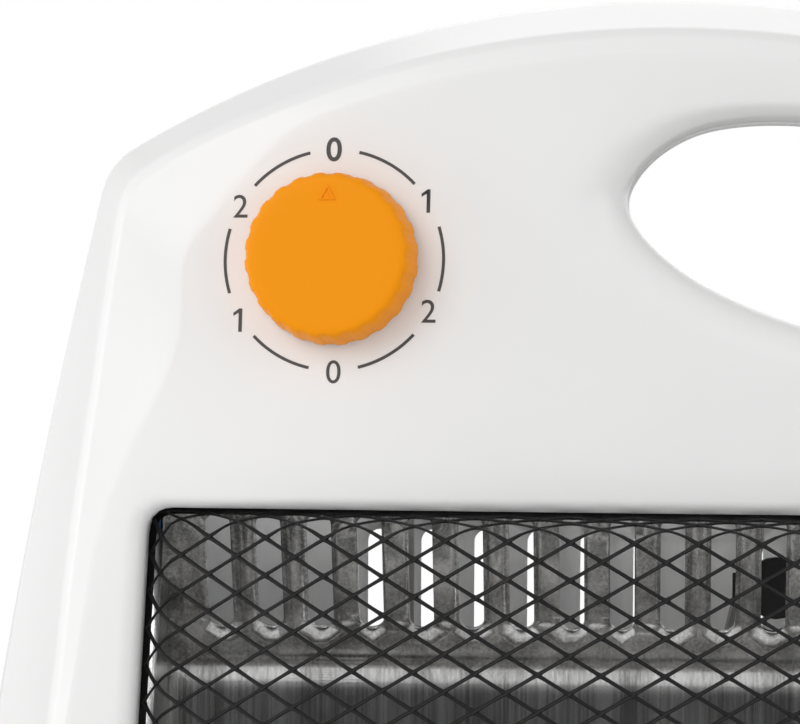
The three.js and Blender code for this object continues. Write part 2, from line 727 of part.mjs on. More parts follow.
/** An outline in Y and Z carried along X, its width at each height given by a function. */
function crossSlab(points, left, right) {
  const shape = new THREE.Shape(points.map(([y, z]) => new THREE.Vector2(y, z)));
  const geometry = new THREE.ExtrudeGeometry(shape, { depth: 1, bevelEnabled: false });
  const at = geometry.getAttribute('position');
  for (let k = 0; k < at.count; k++) {
    const [y, z, share] = [at.getX(k), at.getY(k), at.getZ(k)];
    at.setXYZ(k, left(z) + (right(z) - left(z)) * share, y, z);
  }
  return solid(geometry);
}

const panelFace = (z) => windowHalf(z) - reflectorInset;
const lipEnd = (z) => flangeSetback + sheet / 2 - faceAt(windowHalf(z), z);

/** The reflector's section: its bends, and the same line moved back by the sheet's thickness. */
function reflectorSection() {
  const front = [
    [lipEnd(reflectorFrontTop) + reflectorShort, reflectorFrontTop],
    [reflectorBack, reflectorBendTop],
    [reflectorBack, reflectorBendBottom],
    [lipEnd(reflectorFrontBottom) + reflectorShort, reflectorFrontBottom],
  ];
  const directions = front.slice(1).map(([y, z], i) =>
    new THREE.Vector2(y - front[i][0], z - front[i][1]).normalize());
  const back = front.map(([y, z], i) => {
    const before = directions[Math.max(0, i - 1)];
    const after = directions[Math.min(directions.length - 1, i)];
    const miter = before.clone().add(after).normalize();
    const reach = sheet / miter.dot(before);
    return [y - miter.y * reach, z + miter.x * reach];
  });
  return [...front, ...back.reverse()];
}

function reflectorSheet() {
  const end = (z) => panelFace(z) - fit;
  const body = crossSlab(reflectorSection(), (z) => -end(z), end);
  const rows = [
    { count: slotCount, pitch: slotPitch, width: slotWidth, top: slotTop, bottom: slotBottom },
    { count: slotCount, pitch: slotPitch, width: slotWidth, top: lowerSlotTop, bottom: lowerSlotBottom },
  ];
  const slots = rows.flatMap(slotRow).map((shape) => solid(slab(shape, -60, 60)));
  const tabHeight = tabTop - reflectorBendTop + 1;
  const tab = solid(block(2 * tabHalfWidth, sheet, tabHeight, cutoutX,
    reflectorBack + sheet / 2, tabTop - tabHeight / 2));
  return join(cut(body, ...slots), tab);
}

/** An end panel of the trough, with a flange that lies behind the guard's. */
function endPanel(side) {
  const margin = 1.6;
  const points = [
    [lipEnd(reflectorFrontTop + margin), reflectorFrontTop + margin],
    [reflectorBack + margin + sheet, reflectorBendTop + 1],
    [reflectorBack + margin + sheet, reflectorBendBottom - 1],
    [lipEnd(reflectorFrontBottom - margin), reflectorFrontBottom - margin],
  ];
  const near = (z) => side * panelFace(z);
  const far = (z) => side * (panelFace(z) + sheet);
  const plate = crossSlab(points, near, far);
  const flange = new THREE.BoxGeometry(1, sheet, 1, 2, 1, 3);
  const at = flange.getAttribute('position');
  for (let k = 0; k < at.count; k++) {
    const z = THREE.MathUtils.lerp(flangeBottom, flangeTop, at.getZ(k) + 0.5);
    const outer = windowHalf(z) + flangeReach;
    const x = THREE.MathUtils.lerp(panelFace(z), outer, at.getX(k) + 0.5);
    at.setXYZ(k, side * x, at.getY(k) + sheet / 2 + flangeSetback - faceAt(x, z), z);
  }
  const holes = tubeHeights.map((z) => solid(bar(capNeck + fit, -200, 200).rotateY(Math.PI / 2)
    .translate(side * (200 + 50), tubeDepth, z)));
  const screwHoles = panelScrews.filter(([x]) => x * side > 0).map(([x, z]) =>
    solid(deepBar(screwRadius + fit, x, z, -faceAt(x, z), 0, 8)));
  const notches = casingScrews.map(([x, z]) => solid(deepBar(bossRadius + 1, x, z, -frontDepth, 0)));
  return cut(join(plate, solid(flange)), ...holes, ...screwHoles, ...notches);
}

// ================= Quartz bars =================

const panelOuter = (z) => panelFace(z) + sheet;
const tailEnd = (z) => panelOuter(z) + capLength + leadTail;
const alongX = (geometry, x, z) => geometry.rotateY(Math.PI / 2).translate(x, tubeDepth, z);

function quartzTube(z) {
  const half = panelOuter(z) + capSeat;
  const inner = tubeRadius - tubeWall;
  const profile = [[inner, -half], [tubeRadius, -half], [tubeRadius, half], [inner, half], [inner, -half]];
  return solid(alongX(turned(profile), 0, z));
}

function endCap(z, side) {
  const bore = tubeRadius + fit;
  const floor = capSeat + fit;
  const profile = [
    [leadBore, capLength], [capRadius, capLength], [capRadius, capGap], [capNeck, capGap],
    [capNeck, -capNeckLength], [bore, -capNeckLength], [bore, floor], [leadBore, floor],
    [leadBore, capLength],
  ];
  const geometry = turned(profile, 12);
  if (side < 0) geometry.rotateX(Math.PI);
  return solid(alongX(geometry, side * panelOuter(z), z));
}

/** A wound wire about +Z: its curls, with ends that come in to the axis and run out straight. */
function woundCurve(radius, curls, from, to, tail) {
  const points = [];
  const perCurl = 8;
  const steps = curls * perCurl;
  points.push(new THREE.Vector3(0, 0, from - tail), new THREE.Vector3(0, 0, from - tail / 2));
  for (let i = 0; i <= steps; i++) {
    const turn = (i / perCurl) * Math.PI * 2;
    const fromEnd = Math.min(i, steps - i) / perCurl;
    const r = radius * THREE.MathUtils.smoothstep(fromEnd, 0, 0.6);
    points.push(new THREE.Vector3(r * Math.cos(turn), r * Math.sin(turn), from + ((to - from) * i) / steps));
  }
  points.push(new THREE.Vector3(0, 0, to + tail / 2), new THREE.Vector3(0, 0, to + tail));
  return new THREE.CatmullRomCurve3(points);
}

/** The least gap of a wound wire to its own neighbouring curls, measured on points. */
function leastGap(curve, wireRadius, curls) {
  const points = curve.getSpacedPoints(curls * 16);
  const apart = 12;
  let least = Infinity;
  for (let i = 0; i < points.length; i++) {
    for (let j = i + apart; j < points.length; j++) {
      least = Math.min(least, points[i].distanceTo(points[j]) - 2 * wireRadius);
    }
  }
  return least;
}

function wound(name, radius, wireRadius, curls, from, to, tail) {
  const curve = woundCurve(radius, curls, from, to, tail);
  console.log(`${name}: least gap to itself ${leastGap(curve, wireRadius, curls).toFixed(2)} mm`);
  return wire(curve, wireRadius, curls * 8 + 8, 5);
}

function heatingCoil(name, z) {
  const half = panelFace(z) - coilShort;
  const tail = tailEnd(z) - half;
  return solid(alongX(wound(name, coilRadius, coilWire, coilCurls, -half, half, tail), 0, z));
}

// ================= Selector =================

function knobSolid() {
  const [low, high] = [knobStandOff, knobStandOff + knobHeight];
  const bore = spindleRadius + fit;
  const profile = [
    [0, high], [knobFace - 2, high], [knobFace - 0.4, high - 0.8], [knobFace, high - 2.2],
    [knobRadius, low + 1.5], [knobRadius, low], [bore, low], [bore, low + spindleInKnob],
    [0, low + spindleInKnob],
  ];
  const geometry = turned(profile, 2 * knobFlutes);
  const at = geometry.getAttribute('position');
  for (let k = 0; k < at.count; k++) {
    const r = Math.hypot(at.getX(k), at.getY(k));
    const flute = Math.round((Math.atan2(at.getY(k), at.getX(k)) / Math.PI) * knobFlutes);
    if (r > knobFace - 1 && flute % 2) {
      const share = (r - fluteDepth) / r;
      at.setXY(k, at.getX(k) * share, at.getY(k) * share);
    }
  }
  const pointer = new THREE.Shape();
  const half = pointerSize / 2;
  pointer.setFromPoints([[-half, -half], [half, -half], [0, half]].map(([x, y]) =>
    new THREE.Vector2(x, y + pointerAt)));
  const arrow = new THREE.ExtrudeGeometry(pointer, { depth: pointerRaise + 0.5, bevelEnabled: false });
  return join(solid(geometry), solid(arrow.translate(0, 0, high - 0.5)));
}

const switchFace = -padDepth - fit;
const switchBack = switchFace - switchDepth;
const bladeAt = [-9, 0, 9];

function selectorSwitch() {
  const body = solid(block(switchSize, switchSize, switchDepth, 0, 0, switchFace - switchDepth / 2));
  const blades = bladeAt.map((x) =>
    solid(block(0.8, 6.3, switchBladeLength + 1, x, 0, switchBack - switchBladeLength / 2 + 0.5)));
  const bush = solid(bar(spindleRadius + fit, switchFace - spindleInSwitch, switchFace + 1));
  const holes = switchScrews.map(([x, y]) =>
    solid(bar(screwRadius + fit, switchFace - 6, switchFace + 1, 8).translate(x, y, 0)));
  return cut(join(body, ...blades), bush, ...holes);
}

const spindle = () =>
  solid(bar(spindleRadius, switchFace - spindleInSwitch + fit, knobStandOff + spindleInKnob - fit));

/** A screw about +Z: its head stands on the plane z = 0 and its shank goes down. */
function screw(length) {
  return turned([[0, -length], [screwRadius, -length], [screwRadius, 0], [screwHead, 0],
    [screwHead, screwHeadHeight], [0, screwHeadHeight]], 6);
}

// ================= Base, feet and tip-over switch =================

function basePlate() {
  const shape = new THREE.Shape();
  const [w, r, y0, y1] = [casingHalfWidth - plateMargin, plateRound, plateFront, plateRear];
  shape.moveTo(-w + r, y0);
  shape.lineTo(w - r, y0);
  shape.absarc(w - r, y0 + r, r, -Math.PI / 2, 0);
  shape.lineTo(w, y1 - r);
  shape.absarc(w - r, y1 - r, r, 0, Math.PI / 2);
  shape.lineTo(-w + r, y1);
  shape.absarc(-w + r, y1 - r, r, Math.PI / 2, Math.PI);
  shape.lineTo(-w, y0 + r);
  shape.absarc(-w + r, y0 + r, r, Math.PI, 1.5 * Math.PI);
  const upward = { depth: plateThick, bevelEnabled: false, curveSegments: 3 };
  const geometry = new THREE.ExtrudeGeometry(shape, upward);
  const plate = solid(geometry.translate(0, 0, plateBottom));
  const holes = baseScrews.flatMap(([x, y]) => [
    solid(bar(screwRadius + fit, 0, 20, 8).translate(x, y, 0)),
    solid(bar(screwHead + fit, 0, plateBottom + screwHeadHeight + fit, 8).translate(x, y, 0)),
  ]);
  const plungerHole = solid(bar(plungerRadius + fit + 0.1, 0, 20).translate(tipX, tipY, 0));
  return cut(plate, ...holes, plungerHole);
}

const footPad = () => solid(turned([
  [0, 0], [footRadius - 1, 0], [footRadius, 1], [footRadius, footHeight], [0, footHeight]], 14));

function tipSwitchBody() {
  const [wide, deep, high] = tipBody;
  const foot = plateTop + fit;
  const body = solid(block(wide, deep, high, tipX, tipY, foot + high / 2));
  const bore = solid(bar(plungerHead + fit, 0, tipBoreTop).translate(tipX, tipY, 0));
  return cut(body, bore);
}

const tipPlunger = () => solid(turned([
  [0, 0], [plungerRadius - 1, 0], [plungerRadius, 1], [plungerRadius, plungerHeadAt],
  [plungerHead, plungerHeadAt], [plungerHead, plungerHeadAt + plungerHeadHeight],
  [0, plungerHeadAt + plungerHeadHeight]]).translate(tipX, tipY, 0));

function tipSpring() {
  const [low, high] = [plungerHeadAt + plungerHeadHeight + fit, tipBoreTop - fit];
  const tail = 2 * tipWire;
  const geometry = wound('tip_spring', tipSpringRadius, tipWire, tipCurls, low + tail, high - tail, tail);
  return solid(geometry.translate(tipX, tipY, 0));
}

// ================= Electrical fittings =================

/** The terminal block's underside, clear of the floor of the rear half, which rises backwards. */
const blockFoot = casingBottom + wall + rearRim[0][0] * bottomDraft + fit;

function cordGland() {
  const profile = [
    [glandBore, -wall - 3], [glandFlange - 1, -wall - 3], [glandFlange - 1, -wall - fit - 0.8],
    [glandRadius, -wall - fit - 0.8], [glandRadius, fit + 0.5], [glandFlange, fit + 0.5],
    [glandFlange - 0.6, 3], [glandBore, 3], [glandBore, -wall - 3],
  ];
  return solid(turned(profile, 12).applyMatrix4(gland));
}

function terminalBlock() {
  const [wide, deep, high] = blockSize;
  const body = solid(block(wide, deep, high, blockX, blockY, blockFoot + high / 2));
  const cups = [-1, 0, 1].map((k) =>
    solid(bar(2.2, blockFoot + 4, blockFoot + high + 1, 8).translate(blockX + k * 9.5, blockY, 0)));
  return cut(body, ...cups);
}

function thermalCutout() {
  const back = reflectorBack - fit;
  const disc = solid(deepBar(cutoutRadius, cutoutX, cutoutZ, back - cutoutThick, back, 20));
  const ears = solid(block(2 * cutoutRadius + 5, 0.9, 6, cutoutX, back - 0.45, cutoutZ));
  return join(disc, ears);
}

/** A lead through points chosen by hand. */
const lead = (points) => solid(wire(new THREE.CatmullRomCurve3(points.map((p) =>
  (p.isVector3 ? p : new THREE.Vector3(...p)))), leadRadius, 13, 5));

/** A point just past a blade of the selector switch. */
const bladeTip = (k, past) =>
  new THREE.Vector3(bladeAt[k], 0, switchBack - switchBladeLength - past).applyMatrix4(dial);

function leads() {
  const [upper, lower] = tubeHeights;
  const end = (z) => tailEnd(z) + fit;
  const blockTop = blockFoot + blockSize[2] + fit;
  const tipTop = plateTop + fit + tipBody[2] + fit;
  const discTop = cutoutZ + cutoutRadius + fit + 0.2;
  const discY = reflectorBack - fit - cutoutThick / 2;
  const [left, right, knobZ] = [-leadEdge, leadEdge, dialZ - 15];
  return {
    lead_upper_bar: [[-end(upper), tubeDepth, upper], [-end(upper) - 2.5, tubeDepth, upper + 1],
      [left + 4, 0, upper + 10], [left + 7, 6, upper + 24], [left + 14, 10, upper + 43],
      [left + 26, 14, upper + 68], [-96, 12, knobZ - 6], bladeTip(0, 8), bladeTip(0, fit)],
    lead_lower_bar: [[-end(lower), tubeDepth, lower], [-end(lower) - 2.5, tubeDepth, lower + 1],
      [left - 0.3, 0, lower + 14], [left - 0.6, 3, lower + 36], [left + 2, 8, upper - 12],
      [left + 7, 14, upper + 10], [left + 20, 18, upper + 46], [-100, 20, upper + 74],
      [-80, 17, knobZ], bladeTip(1, 9), bladeTip(1, fit)],
    lead_feed: [[blockX, blockY, blockTop], [blockX, blockY + 1, blockTop + 6], [-58, 30, 60],
      [-60, 30, 140], [-60, 29, windowTop - 33], [-60, 22, knobZ - 28], [-61, 12, knobZ],
      bladeTip(2, 8), bladeTip(2, fit)],
    lead_cutout: [[blockX + 9.5, blockY, blockTop], [blockX + 10, blockY + 1, blockTop + 6],
      [-30, 31, 80], [-8, 32, 160], [6, 31, cutoutZ - 12], [cutoutX - 4, 24, cutoutZ + 16],
      [cutoutX - 3, 14, cutoutZ + 18], [cutoutX - 3, discY, cutoutZ + 12], [cutoutX - 3, discY, discTop]],
    lead_upper_return: [[cutoutX + 3, discY, discTop], [cutoutX + 3, discY, cutoutZ + 12],
      [cutoutX + 4, 15, cutoutZ + 18], [cutoutX + 9, 25, cutoutZ + 15], [60, 30, cutoutZ - 5],
      [100, 26, upper + 24], [right - 14, 14, upper + 10], [right - 4, 0, upper + 3],
      [end(upper) + 2.5, tubeDepth, upper + 0.5], [end(upper), tubeDepth, upper]],
    lead_lower_return: [[tipX + 6, tipY, tipTop], [tipX + 7, tipY + 1, tipTop + 6], [40, 30, 60],
      [90, 31, lower - 32], [right - 16, 24, lower - 16], [right - 3, 8, lower - 6],
      [end(lower) + 2.5, tubeDepth, lower - 0.5], [end(lower), tubeDepth, lower]],
  };
}

// ================= The heater =================

const heater = new THREE.Group();
const body = new THREE.Group();
heater.add(body);
const selector = new THREE.Group();
selector.applyMatrix4(dial);
body.add(selector);

const hole = holeOutline();
const opening = windowOutline();
body.add(
  piece('front_shell', frontShell(hole, opening), whiteShell()),
  piece('rear_shell', rearShell(hole), whiteShell()),
  piece('guard_mesh', guardMesh(opening), blackSteel()),
  piece('reflector', reflectorSheet(), brightSheet()),
  piece('reflector_end_left', endPanel(-1), brightSheet()),
  piece('reflector_end_right', endPanel(1), brightSheet()),
);

['upper', 'lower'].forEach((place, i) => {
  const z = tubeHeights[i];
  body.add(
    piece(`quartz_tube_${place}`, quartzTube(z), quartz()),
    piece(`heating_coil_${place}`, heatingCoil(`heating_coil_${place}`, z), nichrome()),
    piece(`end_cap_${place}_left`, endCap(z, -1), ceramic()),
    piece(`end_cap_${place}_right`, endCap(z, 1), ceramic()),
  );
});

selector.add(
  piece('knob', knobSolid(), orangePlastic()),
  piece('switch_spindle', spindle(), greyPlastic()),
  piece('selector_switch', selectorSwitch(), blackPlastic()),
);
switchScrews.forEach(([x, y], i) => {
  const mesh = piece(`switch_screw_${i + 1}`, solid(screw(switchScrewLength)), zincSteel());
  mesh.position.set(x, y, -screwHeadHeight);
  selector.add(mesh);
});

casingScrews.forEach(([x, z], i) => {
  const mesh = piece(`casing_screw_${i + 1}`, solid(screw(casingScrewLength)), zincSteel());
  mesh.position.set(x, casingScrewSeat + fit, z);
  mesh.rotation.x = -Math.PI / 2;
  body.add(mesh);
});

panelScrews.forEach(([x, z], i) => {
  const mesh = piece(`panel_screw_${i + 1}`, solid(screw(panelScrewLength)), zincSteel());
  mesh.position.set(x, flangeSetback + sheet + panelScrewLift - faceAt(x, z), z);
  mesh.rotation.x = -Math.PI / 2;
  body.add(mesh);
});

body.add(
  piece('base_plate', basePlate(), whiteShell()),
  piece('tip_switch_body', tipSwitchBody(), blackPlastic()),
  piece('tip_plunger', tipPlunger(), greyPlastic()),
  piece('tip_spring', tipSpring(), zincSteel()),
);
[[-1, footFront], [1, footFront], [-1, footRear], [1, footRear]].forEach(([side, y], i) => {
  const mesh = piece(`foot_pad_${i + 1}`, footPad(), rubber());
  mesh.position.set(side * footX, y, 0);
  body.add(mesh);
});
baseScrews.forEach(([x, y], i) => {
  const mesh = piece(`base_screw_${i + 1}`, solid(screw(baseScrewLength)), zincSteel());
  mesh.position.set(x, y, plateBottom + screwHeadHeight);
  mesh.rotation.x = Math.PI;
  body.add(mesh);
});

body.add(
  piece('cord_gland', cordGland(), rubber()),
  piece('terminal_block', terminalBlock(), greyPlastic()),
  piece('thermal_cutout', thermalCutout(), blackPlastic()),
);
Object.entries(leads()).forEach(([name, points], i) => {
  body.add(piece(name, lead(points), finish(leadColours[i % leadColours.length], 0.6)));
});

// The box is centred in depth; its foot is already on the floor.
const reach = new THREE.Box3().setFromObject(body);
body.position.y = -(reach.min.y + reach.max.y) / 2;

export default heater;
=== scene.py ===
"""Electric bar heater: the visible surfaces, their finishes and a plain studio.

Sizes are millimetres in the heater's frame, x to the right, z up, the front towards -y. Depths
are counted from the plane where the casing halves meet, as in the CAD source.
"""

import logging
import math
from dataclasses import dataclass
from enum import Enum
from typing import Callable, ClassVar, Sequence

import bmesh
import bpy
import numpy as np
from mathutils import Matrix, Vector
from mathutils.geometry import delaunay_2d_cdt

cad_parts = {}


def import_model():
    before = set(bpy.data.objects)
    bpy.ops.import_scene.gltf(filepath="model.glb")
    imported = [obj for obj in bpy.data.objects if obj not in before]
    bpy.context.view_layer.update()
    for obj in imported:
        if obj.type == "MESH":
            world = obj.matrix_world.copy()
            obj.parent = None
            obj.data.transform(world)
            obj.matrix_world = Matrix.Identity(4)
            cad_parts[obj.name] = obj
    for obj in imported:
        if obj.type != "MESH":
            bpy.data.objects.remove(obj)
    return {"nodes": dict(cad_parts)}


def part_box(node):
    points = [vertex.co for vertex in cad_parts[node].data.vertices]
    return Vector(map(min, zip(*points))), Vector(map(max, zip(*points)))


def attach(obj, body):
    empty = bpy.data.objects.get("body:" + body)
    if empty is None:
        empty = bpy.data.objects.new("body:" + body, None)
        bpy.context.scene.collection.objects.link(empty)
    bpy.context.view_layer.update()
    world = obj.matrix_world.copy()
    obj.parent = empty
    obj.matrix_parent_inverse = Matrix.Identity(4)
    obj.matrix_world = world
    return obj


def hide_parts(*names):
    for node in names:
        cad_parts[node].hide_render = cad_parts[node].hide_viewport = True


LOG = logging.getLogger("heater")
MM = 0.001
TURN = 2 * math.pi
SEAM_GAP = 0.15  # from the seam plane to each casing half
Array = np.ndarray


# ---------------------------------------------------------------- Surfaces


class Side(Enum):
    """The casing half that a surface belongs to, as the sign of its depth."""

    FRONT = -1
    REAR = 1


class Surface:
    """Points and faces gathered from grids, fans and filled regions, then made one mesh."""

    def __init__(self) -> None:
        """Starts empty."""
        self.points: list[Array] = []
        self.faces: list[Array] = []
        self.count = 0

    def add(self, points: Array, faces: Array) -> "Surface":
        """Adds points (n, 3) and faces that index them.

        Args:
            points: The new corners in millimetres.
            faces: Rows of three or four corner numbers, counted within these points.

        Returns:
            This surface.
        """
        self.points.append(np.asarray(points, float).reshape(-1, 3))
        self.faces.append(np.asarray(faces, int) + self.count)
        self.count += len(self.points[-1])
        return self

    def grid(self, points: Array, around: bool = True, endless: bool = False) -> "Surface":
        """Adds a grid surface.

        Args:
            points: Rings of points, shape (rings, stations, 3).
            around: Whether each ring closes on itself.
            endless: Whether the last ring joins the first.

        Returns:
            This surface.
        """
        rings, stations, _ = points.shape
        ids = np.arange(rings * stations).reshape(rings, stations)
        if around:
            ids = np.concatenate([ids, ids[:, :1]], axis=1)
        if endless:
            ids = np.concatenate([ids, ids[:1]], axis=0)
        quads = np.stack([ids[:-1, :-1], ids[:-1, 1:], ids[1:, 1:], ids[1:, :-1]], axis=-1)
        return self.add(points, quads.reshape(-1, 4))

    def fan(self, ring: Array) -> "Surface":
        """Closes a ring (n, 3) with triangles round its middle."""
        count = len(ring)
        around = [[k, (k + 1) % count, count] for k in range(count)]
        return self.add(np.concatenate([ring, ring.mean(axis=0)[None]]), around)

    def region(
        self, loops: Sequence[Array], lift: Callable[[Array], Array], step: float
    ) -> "Surface":
        """Fills a plan region, first loop outside and the rest holes, with even triangles.

        Args:
            loops: Closed outlines, each (n, 2).
            lift: Turns plan points (n, 2) into points in space (n, 3).
            step: Spacing of the points inside.

        Returns:
            This surface.
        """
        low, high = loops[0].min(axis=0), loops[0].max(axis=0)
        xs, zs = (np.arange(low[k] + step / 2, high[k], step) for k in (0, 1))
        inside = np.stack(np.meshgrid(xs, zs), axis=-1).reshape(-1, 2)
        keep = between(inside, loops)
        for loop in loops:
            near = np.full(len(inside), np.inf)
            for part in np.array_split(loop, max(1, len(loop) // 120)):
                away = np.linalg.norm(inside[:, None] - part[None], axis=2)
                near = np.minimum(near, away.min(axis=1))
            keep &= near > step * 0.7
        inside = inside[keep]
        edges, start = [], 0
        for loop in loops:
            ring = np.arange(len(loop)) + start
            edges.append(np.stack([ring, np.roll(ring, -1)], axis=1))
            start += len(loop)
        plan = np.concatenate([*loops, inside])
        corners = [Vector(p) for p in plan.tolist()]
        made = delaunay_2d_cdt(corners, np.concatenate(edges).tolist(), [], 0, 1e-7)
        points = np.array([plan[own[0]] if own else v[:] for v, own in zip(made[0], made[3])])
        faces = np.array([f for f in made[2] if len(f) == 3])
        keep = between(points[faces].mean(axis=1), loops)
        return self.add(lift(points), faces[keep])

    def mesh(self, name: str, sharp: float = 30.0, weld: float = 1e-4) -> bpy.types.Mesh:
        """Welds the points that meet and makes the mesh, smooth but for edges past an angle.

        Args:
            name: The mesh's name.
            sharp: Angle in degrees past which an edge is sharp.
            weld: Distance in millimetres within which points are one.

        Returns:
            The mesh, in metres and in the row frame.
        """
        points = np.concatenate(self.points)
        keys = np.round(points / weld).astype(np.int64)
        _, first, back = np.unique(keys, axis=0, return_index=True, return_inverse=True)
        back = back.reshape(-1)
        polygons = []
        for faces in self.faces:
            polygons += back[faces].tolist()
        clean = [dict.fromkeys(f) for f in polygons]
        corners = points[first] * MM
        corners[:, 1] += Frame.seam
        mesh = bpy.data.meshes.new(name)
        mesh.from_pydata(corners.tolist(), [], [tuple(f) for f in clean if len(f) > 2])
        mesh.validate()
        mesh.shade_smooth()
        mesh.set_sharp_from_angle(angle=math.radians(sharp))
        return mesh


def within(points: Array, loop: Array) -> Array:
    """Whether each plan point lies inside a closed loop, by counting crossings of its edges.

    Args:
        points: Plan points (n, 2).
        loop: The closed outline (m, 2).

    Returns:
        A boolean for each point.
    """
    after = np.roll(loop, -1, axis=0)
    x, z = points[:, :1], points[:, 1:]
    rises = (loop[:, 1] > z) != (after[:, 1] > z)
    run = after[:, 1] - loop[:, 1]
    share = (z - loop[:, 1]) / np.where(run == 0, 1e-9, run)
    across = loop[:, 0] + share * (after[:, 0] - loop[:, 0])
    return (np.count_nonzero(rises & (x < across), axis=1) % 2) == 1


def between(points: Array, loops: Sequence[Array]) -> Array:
    """Whether each plan point lies inside the first loop and outside the others."""
    keep = within(points, loops[0])
    for loop in loops[1:]:
        keep &= ~within(points, loop)
    return keep


def facing(loop: Array) -> Array:
    """Outward normals of a closed outline that runs anticlockwise: its chord turned right."""
    chord = np.roll(loop, -1, axis=0) - np.roll(loop, 1, axis=0)
    chord /= np.linalg.norm(chord, axis=1, keepdims=True)
    return np.stack([chord[:, 1], -chord[:, 0]], axis=1)


def spaced(path: Array, count: int) -> Array:
    """Points at equal distances along a closed outline."""
    ring = np.concatenate([path, path[:1]])
    run = np.concatenate([[0], np.cumsum(np.linalg.norm(np.diff(ring, axis=0), axis=1))])
    at = np.linspace(0, run[-1], count, endpoint=False)
    return np.stack([np.interp(at, run, ring[:, k]) for k in (0, 1)], axis=1)


def spline(points: Array, steps: int) -> Array:
    """A closed smooth curve through the points: the uniform Catmull-Rom cubic of each span."""
    p0, p1, p2, p3 = (np.roll(points, k, axis=0)[:, None] for k in (1, 0, -1, -2))
    t = np.linspace(0, 1, steps, endpoint=False)[None, :, None]
    cubic = 2 * p1 + (p2 - p0) * t + (2 * p0 - 5 * p1 + 4 * p2 - p3) * t**2
    cubic += (3 * p1 - p0 - 3 * p2 + p3) * t**3
    return (cubic / 2).reshape(-1, points.shape[1])


def quadratic(start: Array, pull: Array, end: Array, t: Array) -> Array:
    """The quadratic curve from a start to an end, pulled towards a point between them."""
    return (1 - t) ** 2 * start + 2 * (1 - t) * t * pull + t**2 * end


def smooth(low: float, high: float, value: Array) -> Array:
    """Rises from 0 to 1 between two values with flat ends: 3t squared less 2t cubed."""
    t = np.clip((value - low) / (high - low), 0, 1)
    return t * t * (3 - 2 * t)


def rounded_box(
    x: float, z: float, width: float, height: float, radius: float, steps: int = 6
) -> Array:
    """An anticlockwise rectangle with round corners about (x, z).

    Args:
        x: Middle across.
        z: Middle up.
        width: Full width.
        height: Full height.
        radius: Corner radius.
        steps: Points on each corner.

    Returns:
        The outline (4 * steps, 2).
    """
    turns = np.arange(4)[:, None] * math.pi / 2 + np.linspace(-math.pi / 2, 0, steps)[None]
    signs = np.array([[1, -1], [1, 1], [-1, 1], [-1, -1]])
    hub = signs * (np.array([width, height]) / 2 - radius) + np.array([x, z])
    ring = hub[:, None] + radius * np.stack([np.cos(turns), np.sin(turns)], axis=-1)
    return ring.reshape(-1, 2)


def disc(x: float, z: float, radius: float, count: int) -> Array:
    """An anticlockwise circle about (x, z)."""
    turn = np.linspace(0, TURN, count, endpoint=False)
    return np.stack([x + radius * np.cos(turn), z + radius * np.sin(turn)], axis=1)


def turned(profile: Sequence[tuple[float, float]], count: int) -> Array:
    """A profile of (radius, height) carried round the z axis, bottom first.

    Args:
        profile: Radius and height of each ring.
        count: Stations in a ring.

    Returns:
        The rings (rings, count, 3).
    """
    radius, height = np.array(profile, float).T
    turn = np.linspace(0, TURN, count, endpoint=False)
    ways = (radius, np.cos(turn)), (radius, np.sin(turn)), (height, np.ones_like(turn))
    return np.stack([np.outer(size, way) for size, way in ways], axis=-1)


def along(points: Array, radius: float | Array, sides: int) -> Array:
    """A round section carried along an open path, its frame turned as little as possible.

    Args:
        points: The path (n, 3).
        radius: One radius, or one for each point.
        sides: Sides of the section.

    Returns:
        Rings (n, sides, 3), anticlockwise seen against the path's direction.
    """
    heading = np.gradient(points, axis=0)
    heading /= np.linalg.norm(heading, axis=1, keepdims=True)
    up = np.array([0.0, 0.0, 1.0]) if abs(heading[0][2]) < 0.9 else np.array([0.0, 1.0, 0.0])
    first = np.empty_like(points)
    for k, way in enumerate(heading):
        up = up - way * (up @ way)
        up /= np.linalg.norm(up)
        first[k] = up
    second = np.cross(heading, first)
    turn = np.linspace(0, TURN, sides, endpoint=False)
    spread = np.broadcast_to(np.asarray(radius, float), len(points))[:, None, None]
    ring = first[:, None] * np.cos(turn)[None, :, None]
    ring = ring + second[:, None] * np.sin(turn)[None, :, None]
    return points[:, None] + spread * ring


# ---------------------------------------------------------------- Finishes


class Value:
    """A shader socket on which arithmetic adds Math nodes."""

    def __init__(self, paint: "Paint", socket: bpy.types.NodeSocket) -> None:
        """Wraps a node's output socket."""
        self.paint = paint
        self.socket = socket

    def _with(self, operation: str, *others: "Value | float") -> "Value":
        """The Math node of an operation on this value and the others."""
        return self.paint.math(operation, self, *others)

    def __add__(self, other: "Value | float") -> "Value":
        """The sum."""
        return self._with("ADD", other)

    __radd__ = __add__

    def __mul__(self, other: "Value | float") -> "Value":
        """The product."""
        return self._with("MULTIPLY", other)

    __rmul__ = __mul__

    def __sub__(self, other: "Value | float") -> "Value":
        """The difference."""
        return self._with("SUBTRACT", other)

    def __rsub__(self, other: float) -> "Value":
        """A number less this value."""
        return self.paint.math("SUBTRACT", other, self)


